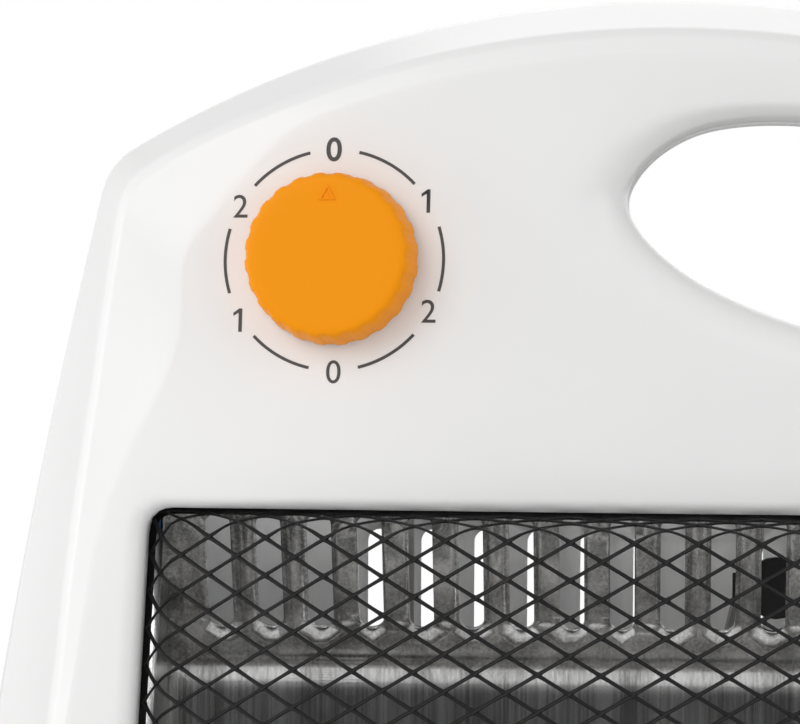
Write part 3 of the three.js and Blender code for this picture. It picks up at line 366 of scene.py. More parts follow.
class Paint:
    """One material and the nodes that are made in it."""

    def __init__(self, name: str) -> None:
        """Starts a material with only its surface shader and output."""
        self.material = bpy.data.materials.new(name)
        self.material.use_nodes = True
        self.tree = self.material.node_tree
        self.tree.nodes.clear()
        self.shader = self.tree.nodes.new("ShaderNodeBsdfPrincipled")
        out = self.tree.nodes.new("ShaderNodeOutputMaterial")
        self.tree.links.new(self.shader.outputs[0], out.inputs["Surface"])

    def node(
        self, kind: str, settings: dict | None = None, sockets: dict | None = None
    ) -> bpy.types.Node:
        """Makes a node.

        Args:
            kind: The node's type, without its ShaderNode prefix.
            settings: Attributes that are set first, such as an operation.
            sockets: Values or links of its inputs, by name or number.

        Returns:
            The node.
        """
        made = self.tree.nodes.new("ShaderNode" + kind)
        for key, value in (settings or {}).items():
            setattr(made, key, value)
        for key, value in (sockets or {}).items():
            self.feed(made.inputs[key], value)
        return made

    def feed(self, socket: bpy.types.NodeSocket, value: object) -> None:
        """Links a value to a socket, or sets it there."""
        if isinstance(value, Value):
            self.tree.links.new(value.socket, socket)
        elif isinstance(value, bpy.types.NodeSocket):
            self.tree.links.new(value, socket)
        elif isinstance(value, tuple) and len(value) == 3 and socket.type == "RGBA":
            socket.default_value = (*value, 1)
        else:
            socket.default_value = value

    def math(self, operation: str, *values: "Value | float") -> Value:
        """A Math node of the values."""
        made = self.node("Math", {"operation": operation}, dict(enumerate(values)))
        return Value(self, made.outputs[0])

    def place(self, scale: tuple[float, float, float] = (1, 1, 1)) -> bpy.types.NodeSocket:
        """The piece's own coordinates in metres, scaled along each axis."""
        own = self.node("TexCoord").outputs["Object"]
        return self.node("Mapping", None, {"Vector": own, "Scale": scale}).outputs[0]

    def noise(
        self, size: float, detail: float = 2.0, stretch: tuple = (1, 1, 1), rough: float = 0.5
    ) -> Value:
        """Noise with cells of about `size` millimetres, `stretch` times as long on each axis."""
        scale = tuple(1 / (size * MM * s) for s in stretch)
        held = {"Vector": self.place(scale), "Scale": 1.0, "Detail": detail, "Roughness": rough}
        return Value(self, self.node("TexNoise", None, held).outputs[0])

    def tint(self, mask: Value, low: tuple, high: tuple) -> bpy.types.NodeSocket:
        """A colour between two by a mask from 0 to 1."""
        made = self.node("Mix", {"data_type": "RGBA"}, {0: mask})
        made.inputs[6].default_value = (*low, 1)
        made.inputs[7].default_value = (*high, 1)
        return made.outputs[2]

    def span(
        self, value: Value, low: float, high: float, to_low: float = 0.0, to_high: float = 1.0
    ) -> Value:
        """A value's range mapped onto another and held there."""
        made = self.node("MapRange", None, {0: value, 1: low, 2: high, 3: to_low, 4: to_high})
        return Value(self, made.outputs[0])

    def rough(self, value: Value, low: float, high: float) -> None:
        """Sets the roughness between two numbers by the middle of a noise's range."""
        self.set(Roughness=self.span(value, 0.3, 0.7, low, high))

    def bump(self, height: Value, depth: float, strength: float = 1.0) -> None:
        """Bumps the surface by a height from 0 to 1, `depth` millimetres deep."""
        held = {"Strength": strength, "Distance": depth * MM, "Height": height}
        self.set(Normal=self.node("Bump", None, held).outputs[0])

    def set(self, **sockets: object) -> "Paint":
        """Sets or links the shader's sockets, named with underscores for spaces."""
        for key, value in sockets.items():
            self.feed(self.shader.inputs[key.replace("_", " ")], value)
        return self


@dataclass(frozen=True)
class Moulded:
    """A moulded plastic: even colour, faint flow marks, a fine eggshell grain."""

    name: str
    colour: tuple[float, float, float]
    shade: float = 0.94  # colour of the darker clouds, as a share
    roughness: float = 0.36
    grain: float = 0.25  # size of the grain
    depth: float = 0.012  # depth of the grain
    gloss: float = 0.5

    def made(self) -> bpy.types.Material:
        """The material."""
        paint = Paint(self.name)
        clouds = paint.span(paint.noise(38, 3), 0.35, 0.65)
        fine = paint.noise(self.grain, 2)
        dark = tuple(c * self.shade for c in self.colour)
        paint.set(Base_Color=paint.tint(clouds, dark, self.colour))
        paint.rough(fine, self.roughness - 0.04, self.roughness + 0.05)
        paint.set(Specular_IOR_Level=self.gloss)
        paint.bump(fine, self.depth, 0.6)
        return paint.material


@dataclass(frozen=True)
class Enamel:
    """Black stove enamel on the steel net, slightly pitted and a little paler in patches."""

    name: str = "black_enamel"
    roughness: float = 0.42

    def made(self) -> bpy.types.Material:
        """The material."""
        paint = Paint(self.name)
        pits = paint.noise(0.5, 3)
        wear = paint.span(paint.noise(9, 4), 0.62, 0.78)
        paint.set(Base_Color=paint.tint(wear, (0.004, 0.004, 0.0045), (0.02, 0.019, 0.018)))
        paint.rough(pits, self.roughness - 0.06, self.roughness + 0.12)
        paint.set(Specular_IOR_Level=0.24)
        paint.bump(pits, 0.03, 0.5)
        return paint.material


@dataclass(frozen=True)
class BrightSheet:
    """Bright rolled sheet: long upright rolling lines, soft waves and a few smears, with painted
    reflection streaks along the lines and waves.
    """

    name: str = "bright_sheet"
    wave: float = 7.0

    def made(self) -> bpy.types.Material:
        """The material."""
        paint = Paint(self.name)
        lines = paint.noise(0.55, 3, (1, 1, 160), 0.6)
        waves = paint.noise(self.wave, 3, (1, 1, 14), 0.55)
        smears = paint.noise(30, 4, (1, 1, 2.5))
        # Painted reflection: the rolling lines and waves swing the metal's colour from 0.40 to 1.0,
        # standing in for the bright and dark streaks that the sheet reflects.
        grain_and_reflection_streaks = paint.span(lines * 0.45 + waves * 0.55, 0.38, 0.62)
        colour = paint.tint(grain_and_reflection_streaks, (0.40, 0.398, 0.392), (1.0, 1.0, 0.995))
        paint.set(Base_Color=colour, Metallic=1.0)
        paint.rough(smears, 0.10, 0.22)
        paint.bump(waves * 0.8 + lines * 0.2, 0.07, 0.5)
        return paint.material


@dataclass(frozen=True)
class Metal:
    """A plain metal with fine turning marks and dull patches."""

    name: str
    bright: tuple[float, float, float]
    dull: tuple[float, float, float]
    roughness: float = 0.32

    def made(self) -> bpy.types.Material:
        """The material."""
        paint = Paint(self.name)
        patches = paint.span(paint.noise(2.2, 4), 0.38, 0.62)
        paint.set(Base_Color=paint.tint(patches, self.dull, self.bright), Metallic=1.0)
        paint.set(Roughness=paint.span(patches, 0, 1, self.roughness + 0.14, self.roughness))
        paint.bump(paint.noise(0.3, 3), 0.02, 0.5)
        return paint.material


@dataclass(frozen=True)
class MilkyQuartz:
    """Satin quartz: a milky tube that lets some light through, with faint draw lines."""

    name: str = "satin_quartz"

    def made(self) -> bpy.types.Material:
        """The material."""
        paint = Paint(self.name)
        drawn = paint.noise(1.1, 3, (30, 1, 1))
        milk = paint.span(drawn, 0.35, 0.65)
        paint.set(Base_Color=paint.tint(milk, (0.80, 0.79, 0.77), (0.93, 0.92, 0.91)))
        paint.set(Transmission_Weight=0.55, IOR=1.46)
        paint.rough(drawn, 0.16, 0.34)
        paint.bump(drawn, 0.05, 0.5)
        return paint.material


@dataclass(frozen=True)
class Ceramic:
    """Unglazed steatite: chalky, with a sandy grain and tiny dark specks."""

    name: str = "steatite"

    def made(self) -> bpy.types.Material:
        """The material."""
        paint = Paint(self.name)
        sand = paint.noise(0.35, 4)
        specks = paint.span(paint.noise(0.5, 1), 0.70, 0.76)
        paint.set(Base_Color=paint.tint(specks, (0.80, 0.77, 0.69), (0.42, 0.36, 0.28)))
        paint.rough(sand, 0.62, 0.86)
        paint.bump(sand, 0.06, 0.8)
        return paint.material


@dataclass(frozen=True)
class Rubber:
    """Black rubber or a lead's sleeve, matt with a dusty bloom."""

    name: str
    colour: tuple[float, float, float]
    bloom: tuple[float, float, float]
    roughness: float = 0.72

    def made(self) -> bpy.types.Material:
        """The material."""
        paint = Paint(self.name)
        dust = paint.span(paint.noise(4, 4), 0.4, 0.7)
        paint.set(Base_Color=paint.tint(dust, self.colour, self.bloom))
        paint.set(Roughness=paint.span(dust, 0, 1, self.roughness, self.roughness + 0.14))
        paint.bump(paint.noise(0.4, 3), 0.04, 0.7)
        return paint.material


# ---------------------------------------------------------------- The frame


class Frame:
    """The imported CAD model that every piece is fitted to."""

    seam = 0.0  # depth of the plane between the halves, in metres in the row frame
    nodes: dict = {}

    @classmethod
    def load(cls) -> None:
        """Loads the frame and works out where the seam plane is."""
        cls.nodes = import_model()["nodes"]
        cls.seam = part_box("front_shell")[1][1] + SEAM_GAP * MM


def put(
    mesh: bpy.types.Mesh, name: str, body: str, material: bpy.types.Material,
    nodes: Sequence[str] = (),
) -> bpy.types.Object:
    """Puts a finished mesh into the scene on its body.

    Args:
        mesh: The mesh, in the row frame.
        name: The piece's name.
        body: The body it rides on.
        material: Its finish.
        nodes: CAD nodes that it stands for.

    Returns:
        The object.
    """
    piece = bpy.data.objects.new(name, mesh)
    bpy.context.scene.collection.objects.link(piece)
    mesh.materials.clear()
    mesh.materials.append(material)
    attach(piece, body)
    if nodes:
        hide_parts(*nodes)
    LOG.info("%s: %d faces on %s", name, len(mesh.polygons), body)
    return piece


def softened(
    node: str, body: str, material: bpy.types.Material,
    bevel: float = 0.0, smooth_over: int = 0, sharp: float = 32.0,
) -> bpy.types.Object:
    """A welded copy of a CAD node with its edges rounded or its tube made smooth.

    Args:
        node: The CAD node.
        body: The body it rides on.
        material: Its finish.
        bevel: Width of the rounded edges, 0 for none.
        smooth_over: Subdivisions, for a lead or a wire.
        sharp: Angle in degrees past which an edge stays sharp.

    Returns:
        The object that stands for the node.
    """
    source = Frame.nodes[node]
    work = bmesh.new()
    work.from_mesh(source.data)
    work.transform(source.matrix_world)
    bmesh.ops.remove_doubles(work, verts=work.verts, dist=1e-6)
    mesh = bpy.data.meshes.new(node + "_finished")
    work.to_mesh(mesh)
    work.free()
    mesh.shade_smooth()
    mesh.set_sharp_from_angle(angle=math.radians(sharp))
    piece = put(mesh, node + "_finished", body, material, (node,))
    if bevel:
        edge = piece.modifiers.new("edges", "BEVEL")
        edge.width, edge.segments, edge.limit_method = bevel * MM, 2, "ANGLE"
        edge.angle_limit = math.radians(sharp)
        edge.harden_normals = True
    if smooth_over:
        soft = piece.modifiers.new("smooth", "SUBSURF")
        soft.levels = soft.render_levels = smooth_over
    return piece


# ---------------------------------------------------------------- Casing


@dataclass
class Casing:
    """The white moulded casing: two halves with a carrying hole, a window and vents."""

    half_width: float = 155.0
    top: float = 347.2
    bottom: float = 8.0
    arch_radius: float = 215.5
    arch_offset: float = -5.0
    shoulder_left: float = 121.7
    shoulder_right: float = 123.7
    shoulder_round: float = 6.0
    side_lean: float = 0.2275
    side_straight: float = 57.0
    side_pull: float = 84.0
    foot_round: float = 16.0
    front_depth: float = 66.0
    front_lean: float = 5.0
    front_bow: float = 600.0
    rear_depth: float = 54.5
    rear_bend: float = 150.0
    rear_draw_in: float = 33.0
    rear_bow: float = 700.0
    stations: int = 760
    evened: int = 21  # stations over which the inset of a ring is evened out
    wall: float = 2.2
    window_drop: float = 104.3  # from the crest down to the window
    window_bottom: float = 52.0
    window_half: tuple[float, float] = (118.5, 110.7)  # at the bottom and at the top
    window_round: float = 5.4
    window_rim: tuple[float, float] = (4.3, 2.7)  # at the sides, and at top and bottom
    window_rim_depth: float = 4.0
    window_depth: float = 12.0
    # The carrying hole, as x and the distance down from the crest
    hole_points: tuple = (
        (-15, 42.7), (-13, 35.6), (-6, 29.2), (4, 25.5), (20, 24.7), (42, 27.6), (62, 34.1),
        (76, 43.1), (80, 54.2), (74, 63.7), (58, 68.8), (38, 69.8), (20, 66.5), (2, 59.4),
        (-9.6, 51.2),
    )
    hole_rim: tuple[float, float, float] = (7.6, 3.1, -4.4)  # all round, more at left, at top
    hole_depths: tuple[float, float] = (9.0, 6.0)  # of the rim, front and rear
    # Edge lines of the front as seen: height, inset of the outer crease, width of the slope within
    creases: tuple = (
        (150, 11.5, 1.5), (205, 11.2, 2), (220, 10.4, 3), (234, 9.4, 3.3), (251, 8.4, 4.5),
        (266, 7.6, 7.8), (275, 7.2, 10.4), (287, 6, 14.2), (297, 5, 16), (330, 4.6, 15),
    )
    inset_growth: float = 0.026  # of the outer crease, with the distance from the middle
    edge_round: tuple[float, float, float] = (4.2, 5.2, 64.0)  # width, depth, degrees it turns
    rear_round: tuple[float, float] = (17.0, 20.0)  # width and depth
    arch_reach: float = 60.0  # the arch and the shoulders lie this far below the crest
    ridge: float = 0.07  # how far the inner crease stands up
    # Rows of vents: count, pitch, width, top and bottom
    vents: tuple = ((13, 11.2, 5.0, 238.0, 215.0), (9, 11.2, 5.0, 92.0, 66.0))
    gland: tuple[float, float, float] = (-92.0, 36.0, 5.6)
    dial_hole: float = 5.8
    well_radius: float = 3.6
    well_floor: float = 8.4
    well_sides: int = 28
    fill: float = 5.0  # spacing of the points inside the two faces

    @property
    def window_top(self) -> float:
        """Height of the window's upper edge."""
        return self.top - self.window_drop

    def face(self, x: Array, z: Array) -> Array:
        """Depth of the front before the seam: it leans back and bows on a large cylinder."""
        bow = self.front_bow - np.sqrt(self.front_bow**2 - x**2)
        return self.front_depth - z * math.tan(math.radians(self.front_lean)) - bow

    def back(self, x: Array, z: Array) -> Array:
        """Depth of the back behind the seam: it curves forward towards the top, by a square."""
        share = np.maximum(0, z - self.rear_bend) / (self.top - self.rear_bend)
        bow = self.rear_bow - np.sqrt(self.rear_bow**2 - x**2)
        return self.rear_depth - self.rear_draw_in * share**2 - bow

    def depth(self, side: Side) -> Callable[[Array, Array], Array]:
        """The depth function of one half."""
        return self.face if side is Side.FRONT else self.back

    def window_half_at(self, z: Array) -> Array:
        """Half the window's width at a height: straight between its two ends."""
        low, high = self.window_half
        share = (z - self.window_bottom) / (self.window_top - self.window_bottom)
        return low + (high - low) * share

    def outline(self) -> Array:
        """The outline at the seam: a flat foot, leaning sides, two tight shoulders and an arch.

        Returns:
            Evenly spaced points (stations, 2), anticlockwise seen from the front.
        """
        limit = np.array(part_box("front_shell")[1]) / MM
        hub = np.array([self.arch_offset, min(self.top, limit[2]) - self.arch_radius])
        radius, w = self.arch_radius, min(self.half_width, limit[0])

        def on_arch(x: float) -> Array:
            """The arch's point over x."""
            return np.array([x, hub[1] + math.sqrt(radius**2 - (x - hub[0]) ** 2)])

        turn_by = self.shoulder_round / radius
        upward = np.array([-self.side_lean, 1]) / math.hypot(self.side_lean, 1)
        right, left = on_arch(self.shoulder_right), on_arch(-self.shoulder_left)
        angle = [math.atan2(*(p - hub)[::-1]) for p in (right, left)]
        right_end = right - upward * self.shoulder_round
        left_end = left + np.array([upward[0], -upward[1]]) * self.shoulder_round
        turn = np.linspace(angle[0] + turn_by, angle[1] - turn_by, 400)
        arch = hub + radius * np.stack([np.cos(turn), np.sin(turn)], axis=1)
        t = np.linspace(0, 1, 200)[:, None]
        pull = np.array([0, self.side_pull])
        lean = np.array([self.side_lean * self.side_pull, -self.side_pull])

        def bezier(a: Array, b: Array, c: Array, d: Array) -> Array:
            """The cubic of four points."""
            return (1 - t) ** 3 * a + 3 * (1 - t) ** 2 * t * b + 3 * (1 - t) * t**2 * c + t**3 * d

        start = np.array([w, self.side_straight])
        finish = np.array([-w, self.side_straight])
        foot = rounded_box(0, 0, 2 * w, 400, self.foot_round, 40)[:40] + [0, self.bottom + 200]
        path = np.concatenate([
            [[0, self.bottom]], foot,
            bezier(start, start + pull, right_end + lean, right_end),
            quadratic(right_end, right, arch[0], t), arch[1:-1],
            quadratic(arch[-1], left, left_end, t),
            bezier(left_end, left_end + [-lean[0], lean[1]], finish + pull, finish),
            (foot * [-1, 1])[::-1],
        ])
        return spaced(path, self.stations)

    def drawn_in(self, outline: Array, amount: Array) -> Array:
        """The outline drawn in towards the middle, by an amount for each station.

        Args:
            outline: The outline at the seam.
            amount: How far each station moves, measured square to the outline.

        Returns:
            The smaller outline, station by station.
        """
        hub = np.array([0, (self.top + self.bottom) / 2])
        inward = hub - outline
        inward /= np.linalg.norm(inward, axis=1, keepdims=True)
        square = np.maximum(0.5, -np.sum(facing(outline) * inward, axis=1))
        weight = np.hanning(self.evened + 2)[1:-1]
        half = self.evened // 2
        reach = np.pad(amount / square, half, mode="wrap")
        reach = np.convolve(reach, weight / weight.sum(), "valid")
        return outline + inward * reach[:, None]

    def front_rings(self, outline: Array) -> list[Array]:
        """Rings of the front half's edge: wall, rounded corner, slope between two creases.

        Args:
            outline: The outline at the seam.

        Returns:
            Rings of points (stations, 3), from the seam to the edge of the face.
        """
        normal = facing(outline)
        x, z = outline.T
        high = z > self.top - self.arch_reach
        side = smooth(0.6, 0.93, np.abs(normal[:, 0]))
        side = np.maximum(side, smooth(84, 119, np.abs(x)) * high)
        top = smooth(-0.2, 0.2, normal[:, 1])
        table = np.array(self.creases).T
        grown = self.inset_growth
        outer = side * (np.interp(z, table[0], table[1]) + grown * np.abs(x))
        outer += (1 - side) * (3.6 + top * (0.6 + grown * (z - 170)))
        slope = side * np.interp(z, table[0], table[2]) + (1 - side) * (2.2 + 0.8 * top)
        on_arch = high * smooth(120, 106, np.abs(x))
        back = 0.8 + (0.17 - 0.11 * on_arch) * slope
        ridge = self.ridge * (1 - on_arch) * side * smooth(8, 16, slope)
        width, depth, end = self.edge_round
        end = math.radians(end)
        rings = [
            self.flat(outline, np.full(len(x), -SEAM_GAP)),
            self.flat(self.drawn_in(outline, outer * 0.08), np.full(len(x), -7.0)),
        ]
        steps = []
        for turn in np.radians([0, 12, 24, 36, 48, 58, 64]):
            inset = outer - width * math.cos(turn) + width * math.cos(end)
            steps.append((inset, back + depth * (math.sin(end) - math.sin(turn))))
        for share, lift in ((0.04, 0.96), (0.25, 0.75), (0.6, 0.4), (0.9, 0.1)):
            steps.append((outer + slope * share, back * lift))
        steps.append((outer + slope, 0.03 * back * (1 - side) - ridge))
        steps.append((outer + slope + 1.0, -0.3 * ridge))
        steps.append((outer + slope + 2.0, 0.0))
        for inset, setback in steps:
            rings.append(self.on(Side.FRONT, self.drawn_in(outline, inset), setback))
        return rings

    def rear_rings(self, outline: Array) -> list[Array]:
        """Rings of the rear half's edge: a wall, then a quarter ellipse onto the back.

        Args:
            outline: The outline at the seam.

        Returns:
            Rings of points (stations, 3), from the seam to the edge of the back.
        """
        normal = facing(outline)
        up = normal[:, 1]
        share = 1 - np.abs(up) * (1 - np.where(up < 0, 0.3, 0.55))
        rings = [self.flat(outline, np.full(len(outline), SEAM_GAP))]
        width, depth = self.rear_round
        for turn in np.radians(np.linspace(0, 90, 11)):
            ring = self.drawn_in(outline, width * (1 - math.cos(turn)) * share)
            rings.append(self.on(Side.REAR, ring, depth * (1 - math.sin(turn))))
        return rings

    def flat(self, loop: Array, y: Array) -> Array:
        """A loop at given depths, front negative."""
        return np.stack([loop[:, 0], y, loop[:, 1]], axis=1)

    def on(self, side: Side, loop: Array, setback: Array | float) -> Array:
        """A loop on one half's face, set back from it."""
        depth = self.depth(side)(loop[:, 0], loop[:, 1]) - setback
        return self.flat(loop, side.value * depth)

    def hole(self) -> Array:
        """The carrying hole's outline, anticlockwise."""
        points = np.array(self.hole_points, float)
        points[:, 1] = self.top - points[:, 1]
        return spaced(spline(points, 20), 220)[::-1]

    def window(self) -> Array:
        """The window's outline: a tapered rectangle with round corners, anticlockwise."""
        z = np.array([self.window_bottom, self.window_bottom, self.window_top, self.window_top])
        x = self.window_half_at(z) * np.array([-1, 1, 1, -1])
        corner = np.stack([x, z], axis=1)
        before, after = np.roll(corner, 1, axis=0), np.roll(corner, -1, axis=0)
        ways = [p - corner for p in (before, after)]
        ways = [w / np.linalg.norm(w, axis=1, keepdims=True) for w in ways]
        start, end = (corner + self.window_round * w for w in ways)
        t = np.linspace(0, 1, 14)[None, :, None]
        bend = quadratic(start[:, None], corner[:, None], end[:, None], t)
        return spaced(bend.reshape(-1, 2), 480)

    def funnel(
        self, surface: Surface, side: Side, loop: Array, width: Array, depth: float,
        end: float | None = None, to: float = 0.0,
    ) -> Array:
        """Adds a quarter-round rim that opens to the face, and the wall within it.

        Args:
            surface: The surface that it joins.
            side: The casing half.
            loop: The opening's outline.
            width: The rim's width at each point.
            depth: The rim's depth.
            end: Depth from the seam at which the wall ends, or None.
            to: Otherwise, the setback at which it ends.

        Returns:
            The rim's outer edge, which is the hole in the face.
        """
        normal = facing(loop)
        rings = []
        for turn in np.radians(np.linspace(0, 90, 9)):
            ring = loop + normal * (width * (1 - math.sin(turn)))[:, None]
            rings.append(self.on(side, ring, depth * (1 - math.cos(turn))))
        last = self.on(side, loop, to)
        if end is not None:
            last = self.flat(loop, np.full(len(loop), end))
        rings += [rings[-1] * 0.5 + last * 0.5, last]
        grid = np.stack(rings)
        surface.grid(grid if side is Side.FRONT else grid[:, ::-1])
        return loop + normal * width[:, None]

    def hole_width(self, loop: Array) -> Array:
        """Width of the carrying hole's rim: wider at the left, narrower at the top."""
        normal = facing(loop)
        base, left, top = self.hole_rim
        return base + left * np.maximum(0, -normal[:, 0]) + top * np.maximum(0, normal[:, 1])

    def front(self) -> Surface:
        """The front half's surface."""
        outline = self.outline()
        rings = self.front_rings(outline)
        surface = Surface().grid(np.stack(rings))
        hole, window = self.hole(), self.window()
        width, depth = self.hole_width(hole), self.hole_depths[0]
        holes = [self.funnel(surface, Side.FRONT, hole, width, depth, end=-SEAM_GAP)]
        upright = np.abs(facing(window)[:, 0])
        rim = self.window_rim[1] + (self.window_rim[0] - self.window_rim[1]) * upright
        depth = self.window_rim_depth
        holes.append(self.funnel(surface, Side.FRONT, window, rim, depth, to=self.window_depth))
        holes.append(disc(*Selector.dial_at, self.dial_hole, 32))
        outer = rings[-1][:, [0, 2]]
        return surface.region([outer, *holes], lambda p: self.on(Side.FRONT, p, 0.0), self.fill)

    def slots(self) -> list[Array]:
        """Outlines of the vents in the back."""
        made = []
        for count, pitch, width, top, bottom in self.vents:
            for k in range(count):
                x = (k - (count - 1) / 2) * pitch
                middle, radius = (top + bottom) / 2, width / 2 - 0.05
                made.append(rounded_box(x, middle, width, top - bottom, radius, 7))
        return made

    def rear(self) -> Surface:
        """The rear half's surface, turned to face out."""
        outline = self.outline()
        rings = self.rear_rings(outline)
        surface = Surface().grid(np.stack(rings)[:, ::-1])
        hole = self.hole()
        width, depth = self.hole_width(hole) * 0.8, self.hole_depths[1]
        holes = [self.funnel(surface, Side.REAR, hole, width, depth, end=SEAM_GAP)]
        holes += self.slots()
        holes.append(disc(*self.gland[:2], self.gland[2], 32))
        sides, radius = self.well_sides, self.well_radius
        floor = np.full(sides, self.well_floor)
        for x, z in Screws.casing_places():
            well = disc(x, z, radius, sides)
            rings_in = [
                self.on(Side.REAR, disc(x, z, radius + 0.6, sides), 0),
                self.on(Side.REAR, disc(x, z, radius + 0.2, sides), 0.2),
                self.on(Side.REAR, well, 0.6),
                self.flat(well, floor),
                self.flat(disc(x, z, 1.6, sides), floor),
            ]
            surface.grid(np.stack(rings_in)[:, ::-1])
            holes.append(disc(x, z, radius + 0.6, sides))
        outer = rings[-1][:, [0, 2]]
        surface.region([outer, *holes], lambda p: self.on(Side.REAR, p, 0.0), self.fill)
        surface.faces[-1] = surface.faces[-1][:, ::-1]
        return surface

    def build(self) -> None:
        """Makes both halves and gives them their walls."""
        white = Moulded(
            "white_shell", (0.93, 0.93, 0.925), shade=0.985, roughness=0.34, grain=0.35, depth=0.008
        ).made()
        for name, surface in (("front_shell", self.front()), ("rear_shell", self.rear())):
            made = name + "_moulding"
            piece = put(surface.mesh(made, 34.0), made, "casing", white, (name,))
            thick = piece.modifiers.new("wall", "SOLIDIFY")
            thick.thickness, thick.offset = self.wall * MM, -1.0
            thick.use_rim = True


# ---------------------------------------------------------------- Guard


@dataclass
class Guard:
    """The bowed black guard: expanded-metal diamonds whose sheet turns back all round."""

    casing: Casing
    clearance: float = 0.6
    seat: float = 0.3  # behind the window's lip
    proud: float = 11.8
    bow: float = 240.0
    side_round: float = 4.5
    end_round: float = 4.0
    side_length: float = 13.2
    half_column: float = 6.31
    half_row: float = 3.731
    first_row: float = -1.1  # nearest knots to the top of the flat part
    strand: tuple[float, float] = (0.44, 0.27)  # half width and half thickness
    tilt: float = 35.0
    swell: float = 0.28  # how much wider a strand is at its knots
    overlap: float = 0.045  # of the strands at a knot, as a share of their length
    easing: float = 0.9  # length along which the ends begin to turn back
    columns: int = 22  # of knots, each way from the middle
    rows: tuple[int, int] = (-62, 8)  # of knots, counted up from the first row
    steps: int = 5
    sides: int = 6
    flange_edges: tuple[float, float] = (-1.4, 5.5)  # measured out from the window
    flange_thick: float = 0.8

    def sheet(self, s: Array, t: Array) -> tuple[Array, Array]:
        """Places points of the unfolded sheet.

        The sheet bows on a cylinder; past the flat part it turns back on quarter ellipses,
        4.5 mm wide at the sides and 4 mm at the ends, down to the flange.

        Args:
            s: Distance across from the middle.
            t: Height along the flat part, counted from its top.

        Returns:
            Points (..., 3), and False where the sheet has ended.
        """
        box = self.casing
        top = box.window_top - self.clearance - self.end_round
        bottom = box.window_bottom + self.clearance + self.end_round
        z = np.clip(top + t, bottom, top)
        past = np.maximum(t, 0) + np.maximum(bottom - (top + t), 0)
        half = box.window_half_at(z) - self.clearance
        reach = self.bow * np.arcsin((half - self.side_round) / self.bow)
        over = np.clip((np.abs(s) - reach) / self.side_length, 0, 1)
        turn = (1 - over) * math.pi / 2
        crown_x = self.bow * np.sin(np.clip(s, -reach, reach) / self.bow)
        x = np.where(over > 0, np.sign(s) * (half - self.side_round * (1 - np.cos(turn))), crown_x)
        bow = self.bow - np.sqrt(self.bow**2 - x**2)
        base = box.face(x, z) - box.window_depth - self.seat
        crown = box.face(0 * x, z) + self.proud - bow
        drop = past - self.easing * (1 - np.exp(-past / self.easing))
        high = np.maximum(crown - base, 0.5)
        rise_z = np.clip(1 - drop / high, 0, 1)
        z = z + np.sign(t + 1e-9) * np.where(past > 0, self.end_round * np.sqrt(1 - rise_z**2), 0)
        rise = np.where(over > 0, np.sin(turn), 1.0) * rise_z
        alive = (over < 1) & (rise_z > 0)
        return np.stack([x, -(base + high * rise), z], axis=-1), alive

    def strands(self) -> tuple[Array, Array]:
        """Ends of every strand on the unfolded sheet, from knot to knot.

        Returns:
            Start and end points, each (n, 2).
        """
        columns = np.arange(-self.columns, self.columns + 1)
        rows = np.arange(self.rows[0], self.rows[1] + 1)
        column, row = (a.reshape(-1) for a in np.meshgrid(columns, rows))
        knots = (column + row) % 2 == 0
        column, row = column[knots], row[knots]
        start = np.stack([column * self.half_column, self.first_row + row * self.half_row], axis=1)
        step = np.array([[self.half_column, self.half_row], [-self.half_column, self.half_row]])
        return np.concatenate([start, start]), np.concatenate([start + step[0], start + step[1]])

    def slope(self, at: Array, s: float, t: float) -> Array:
        """How the placed sheet runs at unfolded points, along a short step (s, t) each way."""
        ahead = self.sheet(at[..., 0] + s, at[..., 1] + t)[0]
        return ahead - self.sheet(at[..., 0] - s, at[..., 1] - t)[0]

    def build(self) -> None:
        """Makes the net and its flange."""
        start, end = self.strands()
        share = np.linspace(-self.overlap, 1 + self.overlap, self.steps + 1)
        flat = start[:, None] + (end - start)[:, None] * share[None, :, None]
        points, alive = self.sheet(flat[..., 0], flat[..., 1])
        keep = alive.all(axis=1)
        points, ends = points[keep], flat[keep]
        heading = np.gradient(points, axis=1)
        heading /= np.linalg.norm(heading, axis=2, keepdims=True)
        outward = np.cross(self.slope(ends, 0.05, 0), self.slope(ends, 0, 0.05))
        outward /= np.maximum(np.linalg.norm(outward, axis=2, keepdims=True), 1e-12)
        beside = np.cross(heading, outward)
        beside /= np.linalg.norm(beside, axis=2, keepdims=True)
        beside *= np.where(beside[..., 2:] < 0, -1, 1)
        tilt = math.radians(self.tilt)
        wide = beside * math.cos(tilt) - outward * math.sin(tilt)
        thick = beside * math.sin(tilt) + outward * math.cos(tilt)
        swell = 1 + self.swell * np.abs(2 * share - 1)[None, :, None, None] ** 4
        turn = np.linspace(0, TURN, self.sides, endpoint=False) + TURN / 12
        a, b = self.strand
        ring = wide[:, :, None] * (a * np.cos(turn))[None, None, :, None]
        ring = ring + thick[:, :, None] * (b * np.sin(turn))[None, None, :, None]
        surface = Surface().add(*self.tubes(points[:, :, None] + ring * swell))
        self.flange(surface)
        mesh = surface.mesh("guard_net", 40.0, 1e-5)
        put(mesh, "guard_net", "casing", Enamel().made(), ("guard_mesh",))

